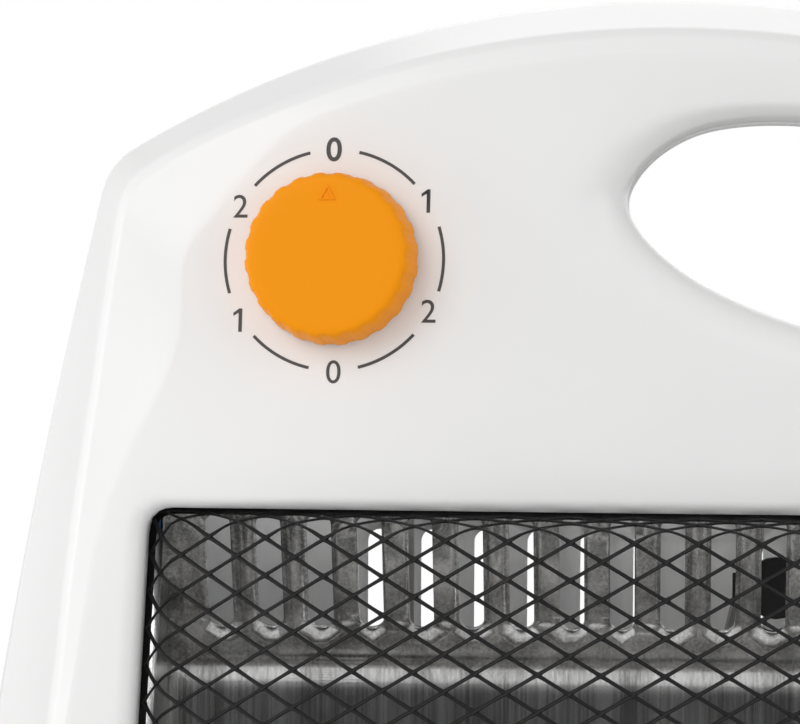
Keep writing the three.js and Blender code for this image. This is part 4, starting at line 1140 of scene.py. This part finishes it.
    def tubes(self, body: Array) -> tuple[Array, Array]:
        """Closed tubes from the rings of every strand.

        Args:
            body: Ring points, shape (strands, rings, 6, 3).

        Returns:
            The corners and the faces, which all face outwards.
        """
        count, rings, sides, _ = body.shape
        ids = np.arange(count * rings * sides).reshape(count, rings, sides)
        after = np.roll(ids, -1, axis=2)
        quads = np.stack([ids[:, :-1], after[:, :-1], after[:, 1:], ids[:, 1:]], axis=-1)
        caps = []
        for ring in (ids[:, 0], ids[:, -1, ::-1]):
            caps += [ring[:, [0, 5, 4, 3]], ring[:, [0, 3, 2, 1]]]
        faces = np.concatenate([quads.reshape(-1, 4), *caps])
        first = body[:, 0]
        across = np.cross(first[:, 1] - first[:, 0], first[:, 2] - first[:, 0])
        onward = body[:, 1].mean(axis=1) - first.mean(axis=1)
        turned_in = np.einsum("ij,ij->i", across, onward) >= 0
        inward = turned_in[faces[:, 0] // (rings * sides)]
        faces[inward] = faces[inward][:, ::-1]
        return body.reshape(-1, 3), faces

    def flange(self, surface: Surface) -> None:
        """Adds the flat flange behind the window's lip."""
        loop = self.casing.window()
        normal = facing(loop)
        (inner, outer), near = self.flange_edges, self.casing.window_depth + self.seat
        far = near + self.flange_thick
        rings = [
            self.casing.on(Side.FRONT, loop + normal * out, back)
            for out, back in ((inner, near), (outer, near), (outer, far), (inner, far))
        ]
        surface.grid(np.stack(rings)[:, ::-1], endless=True)


# ---------------------------------------------------------------- Reflector and bars


@dataclass
class Reflector:
    """The bright folded trough behind the bars, slotted above and below, with its end panels."""

    casing: Casing
    back: float = 14.0
    inset: float = 2.3
    sheet: float = 0.8
    bend_round: float = 3.0
    setback: float = 15.4  # of the front edge, behind the casing's face
    above: float = 4.1  # of the front edge, over the window's top
    upper_bend: float = 33.4  # below the window's top
    lower_bend: float = 88.0
    foot: float = 48.5
    fill: float = 3.2  # spacing of the points inside the sheet
    # Rows of slots: count, pitch, width, top and bottom
    slots: tuple = ((20, 10.3, 5.0, 241.4, 217.8), (20, 10.3, 5.0, 79.0, 58.0))

    def lip(self, z: float) -> float:
        """Depth of the trough's front edge, just behind the guard's flange."""
        half = self.casing.window_half_at(np.array(z))
        return self.setback - float(self.casing.face(half, np.array(z)))

    def section(self) -> Array:
        """The folded section, (depth, height) from the top edge down, its bends rounded."""
        window, top = self.casing.window_top, self.casing.window_top + self.above
        corners = np.array([
            [self.lip(top), top], [self.back, window - self.upper_bend],
            [self.back, self.lower_bend], [self.lip(self.foot), self.foot],
        ])
        path = [corners[0][None]]
        for k in (1, 2):
            ways = [corners[k + d] - corners[k] for d in (-1, 1)]
            start, end = (corners[k] + w / np.linalg.norm(w) * self.bend_round for w in ways)
            path.append(quadratic(start, corners[k], end, np.linspace(0, 1, 7)[:, None]))
        path.append(corners[3][None])
        return np.concatenate(path)

    def build(self) -> None:
        """Makes the trough with its slots open, and finishes the end panels."""
        section = self.section()
        run = np.concatenate([[0], np.cumsum(np.linalg.norm(np.diff(section, axis=0), axis=1))])
        along_edge = np.linspace(0, run[-1], 60)
        halves = self.casing.window_half_at(np.interp(along_edge, run, section[:, 1])) - self.inset
        right = np.stack([halves, along_edge], axis=1)
        outer = np.concatenate([right * [-1, 1], right[::-1]])
        holes = []
        for count, pitch, width, top, bottom in self.slots:
            low, high = np.interp([-top, -bottom], -section[:, 1], run)
            for k in range(count):
                x, middle = (k - (count - 1) / 2) * pitch, (low + high) / 2
                holes.append(rounded_box(x, middle, width, high - low, width / 2 - 0.05, 6))

        def lift(plan: Array) -> Array:
            """Folds the flat sheet: the second coordinate runs along the section."""
            y = np.interp(plan[:, 1], run, section[:, 0])
            z = np.interp(plan[:, 1], run, section[:, 1])
            return np.stack([plan[:, 0], y, z], axis=1)

        surface = Surface().region([outer[::-1], *[h[::-1] for h in holes]], lift, self.fill)
        metal = BrightSheet().made()
        mesh = surface.mesh("reflector_trough", 50.0)
        piece = put(mesh, "reflector_trough", "casing", metal, ("reflector",))
        thick = piece.modifiers.new("sheet", "SOLIDIFY")
        thick.thickness, thick.offset = self.sheet * MM, 1.0
        for end in ("left", "right"):
            softened("reflector_end_" + end, "casing", metal)


@dataclass
class QuartzBars:
    """Two satin quartz tubes with wound elements and ceramic caps."""

    casing: Casing
    heights: tuple = (("upper", 182.0), ("lower", 112.0))
    depth: float = -6.0
    radius: float = 6.0
    wall: float = 1.4
    element: float = 3.1
    wire: float = 0.42
    pitch: float = 2.6
    bare_end: float = 8.0  # of the tube, past the winding

    def build(self) -> None:
        """Makes both bars."""
        quartz = MilkyQuartz().made()
        wire = Metal("resistance_wire", (0.42, 0.38, 0.34), (0.22, 0.18, 0.15), 0.42).made()
        cap = Ceramic().made()
        for name, z in self.heights:
            low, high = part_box("quartz_tube_" + name)
            reach = (high[0] - low[0]) / 2 / MM
            self.tube(name, z, reach, quartz)
            self.coil(name, z, reach, wire)
            for end in ("left", "right"):
                softened(f"end_cap_{name}_{end}", "casing", cap, 0.5, 0, 40)

    def turned_x(self, rings: Array, z: float) -> Array:
        """Lays rings turned about z along x, at the bar's place."""
        return np.stack([rings[..., 2], self.depth + rings[..., 1], z - rings[..., 0]], axis=-1)

    def tube(self, name: str, z: float, reach: float, finish: bpy.types.Material) -> None:
        """Makes one tube with melted rims: its section goes out along the wall and back within."""
        r, b, e = self.radius, self.radius - self.wall, 0.5
        profile = [
            (b, -reach + e), (b + e, -reach), (r - e, -reach), (r, -reach + e), (r, 0),
            (r, reach - e), (r - e, reach), (b + e, reach), (b, reach - e), (b, 0),
        ]
        surface = Surface().grid(self.turned_x(turned(profile, 48), z), endless=True)
        made = "quartz_bar_" + name
        put(surface.mesh(made, 50.0), made, "casing", finish, ("quartz_tube_" + name,))

    def coil(self, name: str, z: float, reach: float, finish: bpy.types.Material) -> None:
        """Makes one wound element: a helix whose ends run out along the axis."""
        low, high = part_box("heating_coil_" + name)
        half = (high[0] - low[0]) / 2 / MM
        wound = reach - self.bare_end
        turns = int(2 * wound / self.pitch)
        t = np.linspace(-1, 1, turns * 10)
        edge = smooth(1.0, 0.985, np.abs(t))
        angle = t * turns * math.pi
        x = t * wound
        radius = self.element * edge
        y = self.depth + radius * np.sin(angle)
        path = np.stack([x, y, z + radius * np.cos(angle)], axis=1)
        tails = [
            np.stack([np.linspace(a, b, 4), np.full(4, self.depth), np.full(4, z)], axis=1)
            for a, b in ((-half, -wound - 1.2), (wound + 1.2, half))
        ]
        path = np.concatenate([tails[0], path, tails[1]])
        rings = along(path, self.wire, 6)
        surface = Surface().grid(rings)
        for ring in (rings[0][::-1], rings[-1]):
            surface.add(ring, [[0, 1, 2, 3], [0, 3, 4, 5]])
        made, node = "heating_element_" + name, "heating_coil_" + name
        put(surface.mesh(made, 60.0), made, "casing", finish, (node,))


# ---------------------------------------------------------------- Selector


@dataclass
class Selector:
    """The fluted orange knob and the printed scale round it."""

    casing: Casing
    dial_at: ClassVar[tuple[float, float]] = (-73.5, 292.9)
    radius: float = 17.4
    face: float = 16.6
    height: float = 9.2
    stand_off: float = 0.8
    flutes: int = 24
    flute_depth: float = 0.42
    ring: float = 22.2
    line: float = 0.62
    ink: float = 0.06
    arcs: tuple = ((44, 78), (104, 138), (164, 198), (224, 258), (284, 318), (344, 378))
    # Figures: the sign, its angle in degrees, its distance, and how much bolder it is
    marks: tuple = (
        ("0", 91.4, 22.3, 0.10), ("1", 32.9, 22.1, 0), ("2", -27.6, 21.9, 0),
        ("0", -88.9, 22.5, 0), ("1", 212.7, 22.7, 0), ("2", 151, 22.1, 0),
    )
    digit: float = 4.7
    letter_size: float = 1.42  # size of the lettering for a figure one high

    def axes(self) -> Matrix:
        """The dial's frame in the heater's millimetres: across level, out square to the face."""
        x, z = self.dial_at
        run = x / math.sqrt(self.casing.front_bow**2 - x * x)
        out = Vector((run, -1, math.tan(math.radians(self.casing.front_lean)))).normalized()
        across = Vector((0, 0, 1)).cross(out).normalized()
        up = out.cross(across)
        at = Vector((x, -float(self.casing.face(np.array(x), np.array(z))), z))
        made = Matrix((across, up, out)).transposed().to_4x4()
        made.translation = at
        return made

    def on_dial(self, points: Array) -> Array:
        """Points in the dial's frame, placed on the heater."""
        frame = np.array(self.axes())
        return points @ frame[:3, :3].T + frame[:3, 3]

    def knob(self) -> Surface:
        """The knob: a skirt, 24 flutes that fade at the face's round edge, and a dished face."""
        z0, top = self.stand_off, self.stand_off + self.height
        wide, face = self.radius, self.face
        # Radius, height and depth of the flutes at each ring
        rings = np.array([
            (wide - 2.4, z0 + 2.0, 0), (wide - 2.0, z0 + 0.2, 0), (wide - 1.7, z0, 0),
            (wide - 0.2, z0, 0.5), (wide, z0 + 0.25, 0.9), (wide, z0 + 0.8, 1),
            (wide - 0.3, z0 + 3.5, 1), (face + 0.25, top - 1.7, 1), (face, top - 1.1, 1),
            (face - 0.25, top - 0.6, 0.75), (face - 0.65, top - 0.25, 0.4),
            (face - 1.2, top - 0.05, 0.1), (face - 2.0, top, 0), (face - 5, top - 0.06, 0),
            (6.0, top - 0.12, 0), (0.02, top - 0.14, 0),
        ])
        turn = np.linspace(0, TURN, self.flutes * 20, endpoint=False)
        wave = np.clip(np.cos(turn * self.flutes) * 1.5 + 0.15, -0.45, 1) * 0.5 + 0.5
        radius = rings[:, :1] - self.flute_depth * np.outer(rings[:, 2], wave)
        height = np.repeat(rings[:, 1:2], len(turn), axis=1)
        grid = np.stack([radius * np.cos(turn), radius * np.sin(turn), height], axis=-1)
        surface = Surface().grid(self.on_dial(grid))
        inner = turned([(3.15, z0 + 2.0), (3.15, z0 + 0.9)], len(turn))
        surface.grid(self.on_dial(np.concatenate([inner[::-1], grid[:1]])))
        surface.fan(self.on_dial(grid[-1])).fan(self.on_dial(inner[1])[::-1])
        self.pointer(surface, top - 0.05)
        return surface

    def pointer(self, surface: Surface, top: float) -> None:
        """Adds the raised outline of a triangle that points at the scale."""
        corner = np.array([[0.0, 14.1], [-1.75, 11.0], [1.75, 11.0]])
        middle = corner.mean(axis=0)
        levels = [(1.0, -0.3), (1.0, 0.22), (0.93, 0.3), (0.70, 0.3), (0.62, 0.22), (0.62, -0.3)]
        t = np.linspace(0, 1, 8, endpoint=False)[None, :, None]
        loop = (corner[:, None] * (1 - t) + np.roll(corner, -1, axis=0)[:, None] * t).reshape(-1, 2)
        rings = []
        for share, lift in levels:
            height = np.full((len(loop), 1), top + lift)
            rings.append(np.concatenate([middle + (loop - middle) * share, height], axis=1))
        surface.grid(self.on_dial(np.stack(rings)), endless=True)

    def on_face(self, plan: Array, lift: Array) -> Array:
        """Dial-plane points dropped onto the casing's face and lifted off it.

        Args:
            plan: Points (n, 2) in the dial's plane.
            lift: How far each stands off the face.

        Returns:
            Points (n, 3).
        """
        flat = self.on_dial(np.concatenate([plan, np.zeros((len(plan), 1))], axis=1))
        out = np.array(self.axes().col[2][:3])
        flat[:, 1] = -self.casing.face(flat[:, 0], flat[:, 2])
        return flat + out * lift[:, None]

    def print(self) -> Surface:
        """The printed scale: six arcs and six figures, a thin film on the face."""
        surface = Surface()
        inner, outer = self.ring - self.line / 2, self.ring + self.line / 2
        for low, high in self.arcs:
            turn = np.radians(np.linspace(low, high, 30))
            way = np.stack([np.cos(turn), np.sin(turn)], axis=1)
            rings = [
                self.on_face(radius * way, np.full(len(turn), lift))
                for radius, lift in ((inner, 0), (outer, 0), (outer, self.ink), (inner, self.ink))
            ]
            grid = np.stack(rings)
            surface.grid(grid, around=False, endless=True)
            for end, order in ((0, 1), (-1, -1)):
                surface.add(grid[:, end][::order], [[0, 1, 2, 3]])
        for mark, angle, radius, weight in self.marks:
            angle = math.radians(angle)
            centre = radius * np.array([math.cos(angle), math.sin(angle)])
            if mark == "1":
                self.one(surface, centre)
            else:
                self.figure(surface, mark, centre, weight)
        return surface

    def figure(self, surface: Surface, mark: str, centre: Array, weight: float) -> None:
        """Adds one upright figure of the scale.

        Args:
            surface: The surface that it joins.
            mark: The figure.
            centre: Its middle in the dial's plane.
            weight: How much bolder it is.
        """
        curve = bpy.data.curves.new("figure", "FONT")
        curve.body, curve.size = mark, self.digit * self.letter_size
        curve.align_x = curve.align_y = "CENTER"
        curve.extrude, curve.offset = self.ink / 2, weight
        curve.resolution_u = 6
        holder = bpy.data.objects.new("figure", curve)
        bpy.context.scene.collection.objects.link(holder)
        bpy.context.view_layer.update()
        mesh = holder.evaluated_get(bpy.context.evaluated_depsgraph_get()).to_mesh()
        flat = np.empty(len(mesh.vertices) * 3)
        mesh.vertices.foreach_get("co", flat)
        flat = flat.reshape(-1, 3)
        flat[:, :2] -= (flat[:, :2].min(axis=0) + flat[:, :2].max(axis=0)) / 2
        points = self.on_face(flat[:, :2] + centre, flat[:, 2] + self.ink / 2)
        mesh.calc_loop_triangles()
        surface.add(points, [tuple(t.vertices) for t in mesh.loop_triangles])
        bpy.data.objects.remove(holder)
        bpy.data.curves.remove(curve)

    def one(self, surface: Surface, centre: Array) -> None:
        """Adds the figure one: a stem, and a flag at its upper left."""
        half = self.digit / 2
        stem = [[-0.05, -half], [0.67, -half], [0.67, half], [0.1, half], [-0.05, half - 0.85]]
        flag = [[0.1, half], [-1.12, half - 0.88], [-1.12, half - 1.5], [-0.05, half - 0.85]]
        for plan in (np.array(stem), np.array(flag)):
            count = len(plan)
            low = self.on_face(plan + centre, np.zeros(count))
            high = self.on_face(plan + centre, np.full(count, self.ink))
            surface.add(high, [list(range(count))])
            surface.add(low, [list(range(count))[::-1]])
            surface.grid(np.stack([low, high]))

    def build(self) -> None:
        """Makes the knob and the scale."""
        orange = Moulded(
            "orange_knob", (1.0, 0.335, 0.0), shade=0.98, roughness=0.46, grain=0.3, depth=0.006,
            gloss=0.16,
        ).made()
        knob = self.knob().mesh("selector_knob", 28.0)
        put(knob, "selector_knob", "knob", orange, ("knob",))
        ink = Moulded(
            "scale_ink", (0.072, 0.068, 0.067), shade=0.9, roughness=0.5, grain=0.3, depth=0.004
        ).made()
        put(self.print().mesh("dial_print", 40.0, 1e-3), "dial_print", "casing", ink)


# ---------------------------------------------------------------- Screws, base and fittings


@dataclass
class Screws:
    """Every cross-recessed pan-head screw."""

    radius: float = 3.0
    shank: float = 1.45
    head: float = 1.8
    sides: int = 24
    head_from: float = 2.2  # the node is wider than this only at the head

    @staticmethod
    def casing_places() -> list[tuple[float, float]]:
        """Where the six long screws join the casing halves."""
        return [(-108, 281), (107, 276), (-126, 148), (126, 148), (-126, 31), (126, 31)]

    def stand(self, name: str) -> tuple[Array, Array, float, float]:
        """Where a CAD screw stands: the head is where the node is widest.

        Args:
            name: The CAD node.

        Returns:
            Its middle, the axis towards the head, and the reach of head and tip from the middle.
        """
        node = Frame.nodes[name]
        flat = np.empty(len(node.data.vertices) * 3)
        node.data.vertices.foreach_get("co", flat)
        turn, shift = node.matrix_world.to_3x3(), node.matrix_world.translation
        corner = (flat.reshape(-1, 3) @ np.array(turn).T + np.array(shift)) / MM
        middle = (corner.min(axis=0) + corner.max(axis=0)) / 2
        axis = np.linalg.eigh(np.cov((corner - corner.mean(axis=0)).T))[1][:, -1]
        if "base" in name or "casing" in name:
            axis = np.eye(3)[np.argmax(np.ptp(corner, axis=0))]
        reach = (corner - middle) @ axis
        away = np.linalg.norm(corner - middle - reach[:, None] * axis, axis=1)
        if reach[away > self.head_from].mean() < 0:
            axis, reach = -axis, -reach
        return middle, axis, reach.max(), reach.min()

    def mesh(self, name: str) -> bpy.types.Mesh:
        """A screw over its CAD node.

        Args:
            name: The CAD node.

        Returns:
            The mesh, in the row frame.
        """
        middle, axis, top, end = self.stand(name)
        r, s, seat = self.radius, self.shank, top - self.head
        profile = [
            (0.02, end), (s * 0.6, end), (s, end + 0.8), (s, seat), (r - 0.15, seat),
            (r, seat + 0.2), (r, seat + 0.7), (r * 0.86, seat + 1.25), (r * 0.62, top - 0.12),
            (r * 0.5, top), (0.45 * r, top),
        ]
        rings = list(turned(profile, self.sides))
        turn = np.linspace(0, TURN, self.sides, endpoint=False)
        cross = r * (0.18 + 0.30 * np.maximum(np.abs(np.cos(2 * turn)) * 3 - 2, 0))
        for depth, share in ((0.0, 1.0), (0.7, 0.72), (0.9, 0.05)):
            x, y = cross * share * np.cos(turn), cross * share * np.sin(turn)
            rings.append(np.stack([x, y, np.full(self.sides, top - depth)], axis=-1))
        beside = np.cross(axis, [0.0, 0.0, 1.0] if abs(axis[2]) < 0.9 else [0.0, 1.0, 0.0])
        beside /= np.linalg.norm(beside)
        frame = np.stack([beside, np.cross(axis, beside), axis])
        points = np.stack(rings) @ frame + middle
        points[..., 1] -= Frame.seam / MM
        surface = Surface().grid(points).fan(points[0][::-1]).fan(points[-1])
        return surface.mesh(name + "_head", 40.0)

    def build(self) -> None:
        """Makes all the screws."""
        zinc = Metal("zinc_steel", (0.66, 0.67, 0.68), (0.48, 0.48, 0.49), 0.3).made()
        for name in sorted(n for n in Frame.nodes if "_screw_" in n):
            put(self.mesh(name), name + "_turned", "casing", zinc, (name,))
        softened("tip_spring", "casing", zinc, 0, 1)


@dataclass
class Base:
    """The underside: a plate, four rubber feet and the cord gland."""

    foot_height: float = 3.1
    foot_radius: float = 9.0

    def build(self) -> None:
        """Makes the feet and finishes the rest."""
        white = Moulded(
            "white_base", (0.90, 0.90, 0.895), shade=0.985, roughness=0.4, grain=0.35, depth=0.01
        ).made()
        softened("base_plate", "casing", white, 0.5)
        rubber = Rubber("foot_rubber", (0.022, 0.022, 0.023), (0.05, 0.048, 0.045)).made()
        r, h = self.foot_radius, self.foot_height
        profile = [
            (0.02, 0), (r - 2.6, 0), (r - 2.2, 0.3), (r - 1.6, 0.0), (r - 0.7, 0), (r, 0.6),
            (r, h - 0.5), (r - 0.5, h), (0.02, h),
        ]
        for name in sorted(n for n in Frame.nodes if n.startswith("foot_pad")):
            low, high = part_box(name)
            x, y = ((low[k] + high[k]) / 2 for k in (0, 1))
            rings = turned(profile, 64) + [x / MM, (y - Frame.seam) / MM, 0]
            surface = Surface().grid(rings).fan(rings[0][::-1]).fan(rings[-1])
            made = name + "_turned"
            put(surface.mesh(made, 35.0), made, "casing", rubber, (name,))
        softened("cord_gland", "casing", rubber, 0.5, 0, 40)


@dataclass
class Fittings:
    """The switches, the terminal block, the cut-out and the leads inside the casing."""

    black: tuple = ("selector_switch", "tip_switch_body", "thermal_cutout")
    grey: tuple = ("terminal_block",)
    leads: tuple = (
        ("brown_lead", (0.16, 0.062, 0.022), ("upper_bar", "upper_return")),
        ("blue_lead", (0.03, 0.11, 0.34), ("lower_bar", "lower_return")),
        ("grey_lead", (0.36, 0.355, 0.34), ("feed", "cutout")),
    )

    def build(self) -> None:
        """Finishes each fitting."""
        black = Moulded(
            "black_plastic", (0.018, 0.018, 0.018), shade=0.8, roughness=0.42, grain=0.3, depth=0.01
        ).made()
        grey = Moulded(
            "grey_plastic", (0.26, 0.26, 0.255), shade=0.93, roughness=0.42, grain=0.3, depth=0.01
        ).made()
        for name in self.black:
            softened(name, "casing", black, 0.5, 0, 40)
        for name in self.grey:
            softened(name, "casing", grey, 0.5, 0, 40)
        softened("switch_spindle", "knob", grey, 0.25, 0, 40)
        softened("tip_plunger", "plunger", grey, 0.3, 0, 40)
        for slot, colour, names in self.leads:
            sleeve = Rubber(slot, colour, tuple(c * 1.25 for c in colour), 0.5).made()
            for name in names:
                softened("lead_" + name, "casing", sleeve, 0, 1)


# ---------------------------------------------------------------- Studio


@dataclass
class Studio:
    """A pale floor, soft lamps, a white surround and the camera."""

    eye: tuple[float, float, float] = (0.0, -1528.0, 268.0)
    target: tuple[float, float, float] = (-60.0, -28.0, 272.6)
    seen: float = 160.0  # width seen at the target
    sensor: float = 36.0
    roll: float = 0.6
    ambient: float = 0.50
    dim: float = 0.07  # what a mirror sees straight ahead, where the camera stands
    # Lamps: name, place, size and watts
    lamps: tuple = (
        ("key", (-900, -1150, 950), 900, 7.3),
        ("fill", (1100, -900, 700), 900, 3.6),
        ("edge", (-900, -60, 300), 500, 1.5),
        ("back", (200, 1200, 900), 900, 2.0),
    )
    # Light that the thin white back lets through: watts and size of each lamp, and places
    glow: float = 0.012
    glow_size: float = 12.0
    glows: tuple = (
        ("glow_left", (-82, 32, 262)), ("glow_middle", (0, 36, 262)), ("glow_right", (88, 32, 262)),
    )
    middle: tuple[float, float, float] = (0.0, 0.0, 180.0)  # what the lamps aim at
    floor_reach: float = 6.0  # metres
    floor_fade: tuple[float, float] = (0.45, 1.3)  # where it turns white, in metres

    def camera(self) -> None:
        """Puts the camera in front of the heater's middle and aims it at the crop's middle."""
        data = bpy.data.cameras.new("camera")
        eye, target = Vector(self.eye) * MM, Vector(self.target) * MM
        data.sensor_width = self.sensor
        data.lens = self.sensor * (target - eye).length / (self.seen * MM)
        data.clip_start, data.clip_end = 0.1, 20
        made = bpy.data.objects.new("camera", data)
        made.location = eye
        aim = (target - eye).to_track_quat("-Z", "Y").to_matrix()
        made.rotation_euler = (aim @ Matrix.Rotation(math.radians(self.roll), 3, "Z")).to_euler()
        bpy.context.scene.collection.objects.link(made)
        bpy.context.scene.camera = made

    def light(self) -> None:
        """Adds the lamps, each aimed at the heater's middle, and the glow behind the trough."""
        aim = Vector(self.middle) * MM
        for name, place, size, watts in self.lamps:
            data = bpy.data.lights.new(name, "AREA")
            data.size, data.energy = size * MM, watts
            made = bpy.data.objects.new(name, data)
            made.location = Vector(place) * MM
            made.rotation_euler = (aim - made.location).to_track_quat("-Z", "Y").to_euler()
            self.stage(made)
        for name, place in self.glows:
            data = bpy.data.lights.new(name, "POINT")
            data.shadow_soft_size, data.energy = self.glow_size * MM, self.glow
            made = bpy.data.objects.new(name, data)
            made.location = Vector(place) * MM
            made.visible_camera = made.visible_glossy = False
            self.stage(made)

    @staticmethod
    def stage(made: bpy.types.Object) -> None:
        """Links an object to the scene as part of the stage."""
        bpy.context.scene.collection.objects.link(made)

    def surround(self) -> None:
        """Makes the world white to the camera and in reflections, and a soft grey as light."""
        world = bpy.data.worlds.new("surround")
        world.use_nodes = True
        tree = world.node_tree
        tree.nodes.clear()

        def math_node(operation: str, *inputs: object) -> bpy.types.NodeSocket:
            """A Math node of sockets and numbers."""
            made = tree.nodes.new("ShaderNodeMath")
            made.operation, made.use_clamp = operation, True
            for socket, value in zip(made.inputs, inputs):
                if isinstance(value, bpy.types.NodeSocket):
                    tree.links.new(value, socket)
                else:
                    socket.default_value = value
            return made.outputs[0]

        def ramp(value: bpy.types.NodeSocket, low: float, high: float) -> bpy.types.NodeSocket:
            """A value's range mapped onto 0 to 1."""
            made = tree.nodes.new("ShaderNodeMapRange")
            made.interpolation_type = "SMOOTHSTEP"
            tree.links.new(value, made.inputs[0])
            made.inputs[1].default_value, made.inputs[2].default_value = low, high
            return made.outputs[0]

        path = tree.nodes.new("ShaderNodeLightPath").outputs
        way = tree.nodes.new("ShaderNodeSeparateXYZ")
        tree.links.new(tree.nodes.new("ShaderNodeTexCoord").outputs["Generated"], way.inputs[0])
        behind, above = ramp(way.outputs[1], -0.55, 0.1), ramp(way.outputs[2], 0.10, 0.34)
        bright = math_node("MAXIMUM", behind, above)
        bright = math_node("ADD", math_node("MULTIPLY", bright, 1 - self.dim), self.dim)
        plain = math_node("ADD", path["Is Camera Ray"], path["Is Transmission Ray"])
        mirror = math_node("MULTIPLY", path["Is Glossy Ray"], bright)
        strength = math_node("ADD", plain, mirror)
        rest = math_node("SUBTRACT", 1.0, math_node("ADD", plain, path["Is Glossy Ray"]))
        strength = math_node("ADD", strength, math_node("MULTIPLY", rest, self.ambient))
        light = tree.nodes.new("ShaderNodeBackground")
        light.inputs[0].default_value = (1, 1, 1, 1)
        tree.links.new(strength, light.inputs[1])
        out = tree.nodes.new("ShaderNodeOutputWorld")
        tree.links.new(light.outputs[0], out.inputs[0])
        bpy.context.scene.world = world

    def floor(self) -> None:
        """Lays a wide pale floor under the feet."""
        paint = Paint("pale_floor")
        cloud = paint.span(paint.noise(300, 2), 0.3, 0.7)
        pale = paint.tint(cloud, (0.86, 0.86, 0.86), (0.88, 0.88, 0.88))
        paint.set(Base_Color=pale, Roughness=0.7)
        far = paint.node("VectorMath", {"operation": "LENGTH"}, {0: paint.place()}).outputs["Value"]
        fade = paint.span(Value(paint, far), *self.floor_fade)
        path = paint.node("LightPath").outputs
        seen, mirrored = Value(paint, path["Is Camera Ray"]), Value(paint, path["Is Glossy Ray"])
        strength = seen + mirrored * self.dim + (1.0 - seen - mirrored) * self.ambient
        white = paint.node("Emission", None, {"Color": (1.0, 1.0, 1.0), "Strength": strength})
        near = paint.shader.outputs[0]
        mix = paint.node("MixShader", None, {0: fade, 1: near, 2: white.outputs[0]})
        out = next(n for n in paint.tree.nodes if n.type == "OUTPUT_MATERIAL")
        paint.tree.links.new(mix.outputs[0], out.inputs["Surface"])
        mesh = bpy.data.meshes.new("floor")
        r = self.floor_reach
        mesh.from_pydata([(-r, -r, 0), (r, -r, 0), (r, r, 0), (-r, r, 0)], [], [(0, 1, 2, 3)])
        mesh.materials.append(paint.material)
        self.stage(bpy.data.objects.new("floor", mesh))

    def build(self) -> None:
        """Sets up the whole studio."""
        bpy.context.scene.view_settings.view_transform = "Standard"
        self.camera()
        self.light()
        self.surround()
        self.floor()


def main() -> None:
    """Builds every piece in order."""
    logging.basicConfig(level=logging.INFO, format="%(message)s")
    Frame.load()
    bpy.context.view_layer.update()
    casing = Casing()
    casing.build()
    Guard(casing).build()
    Reflector(casing).build()
    QuartzBars(casing).build()
    Selector(casing).build()
    Screws().build()
    Base().build()
    Fittings().build()
    Studio().build()


if __name__ == "__main__":
    main()
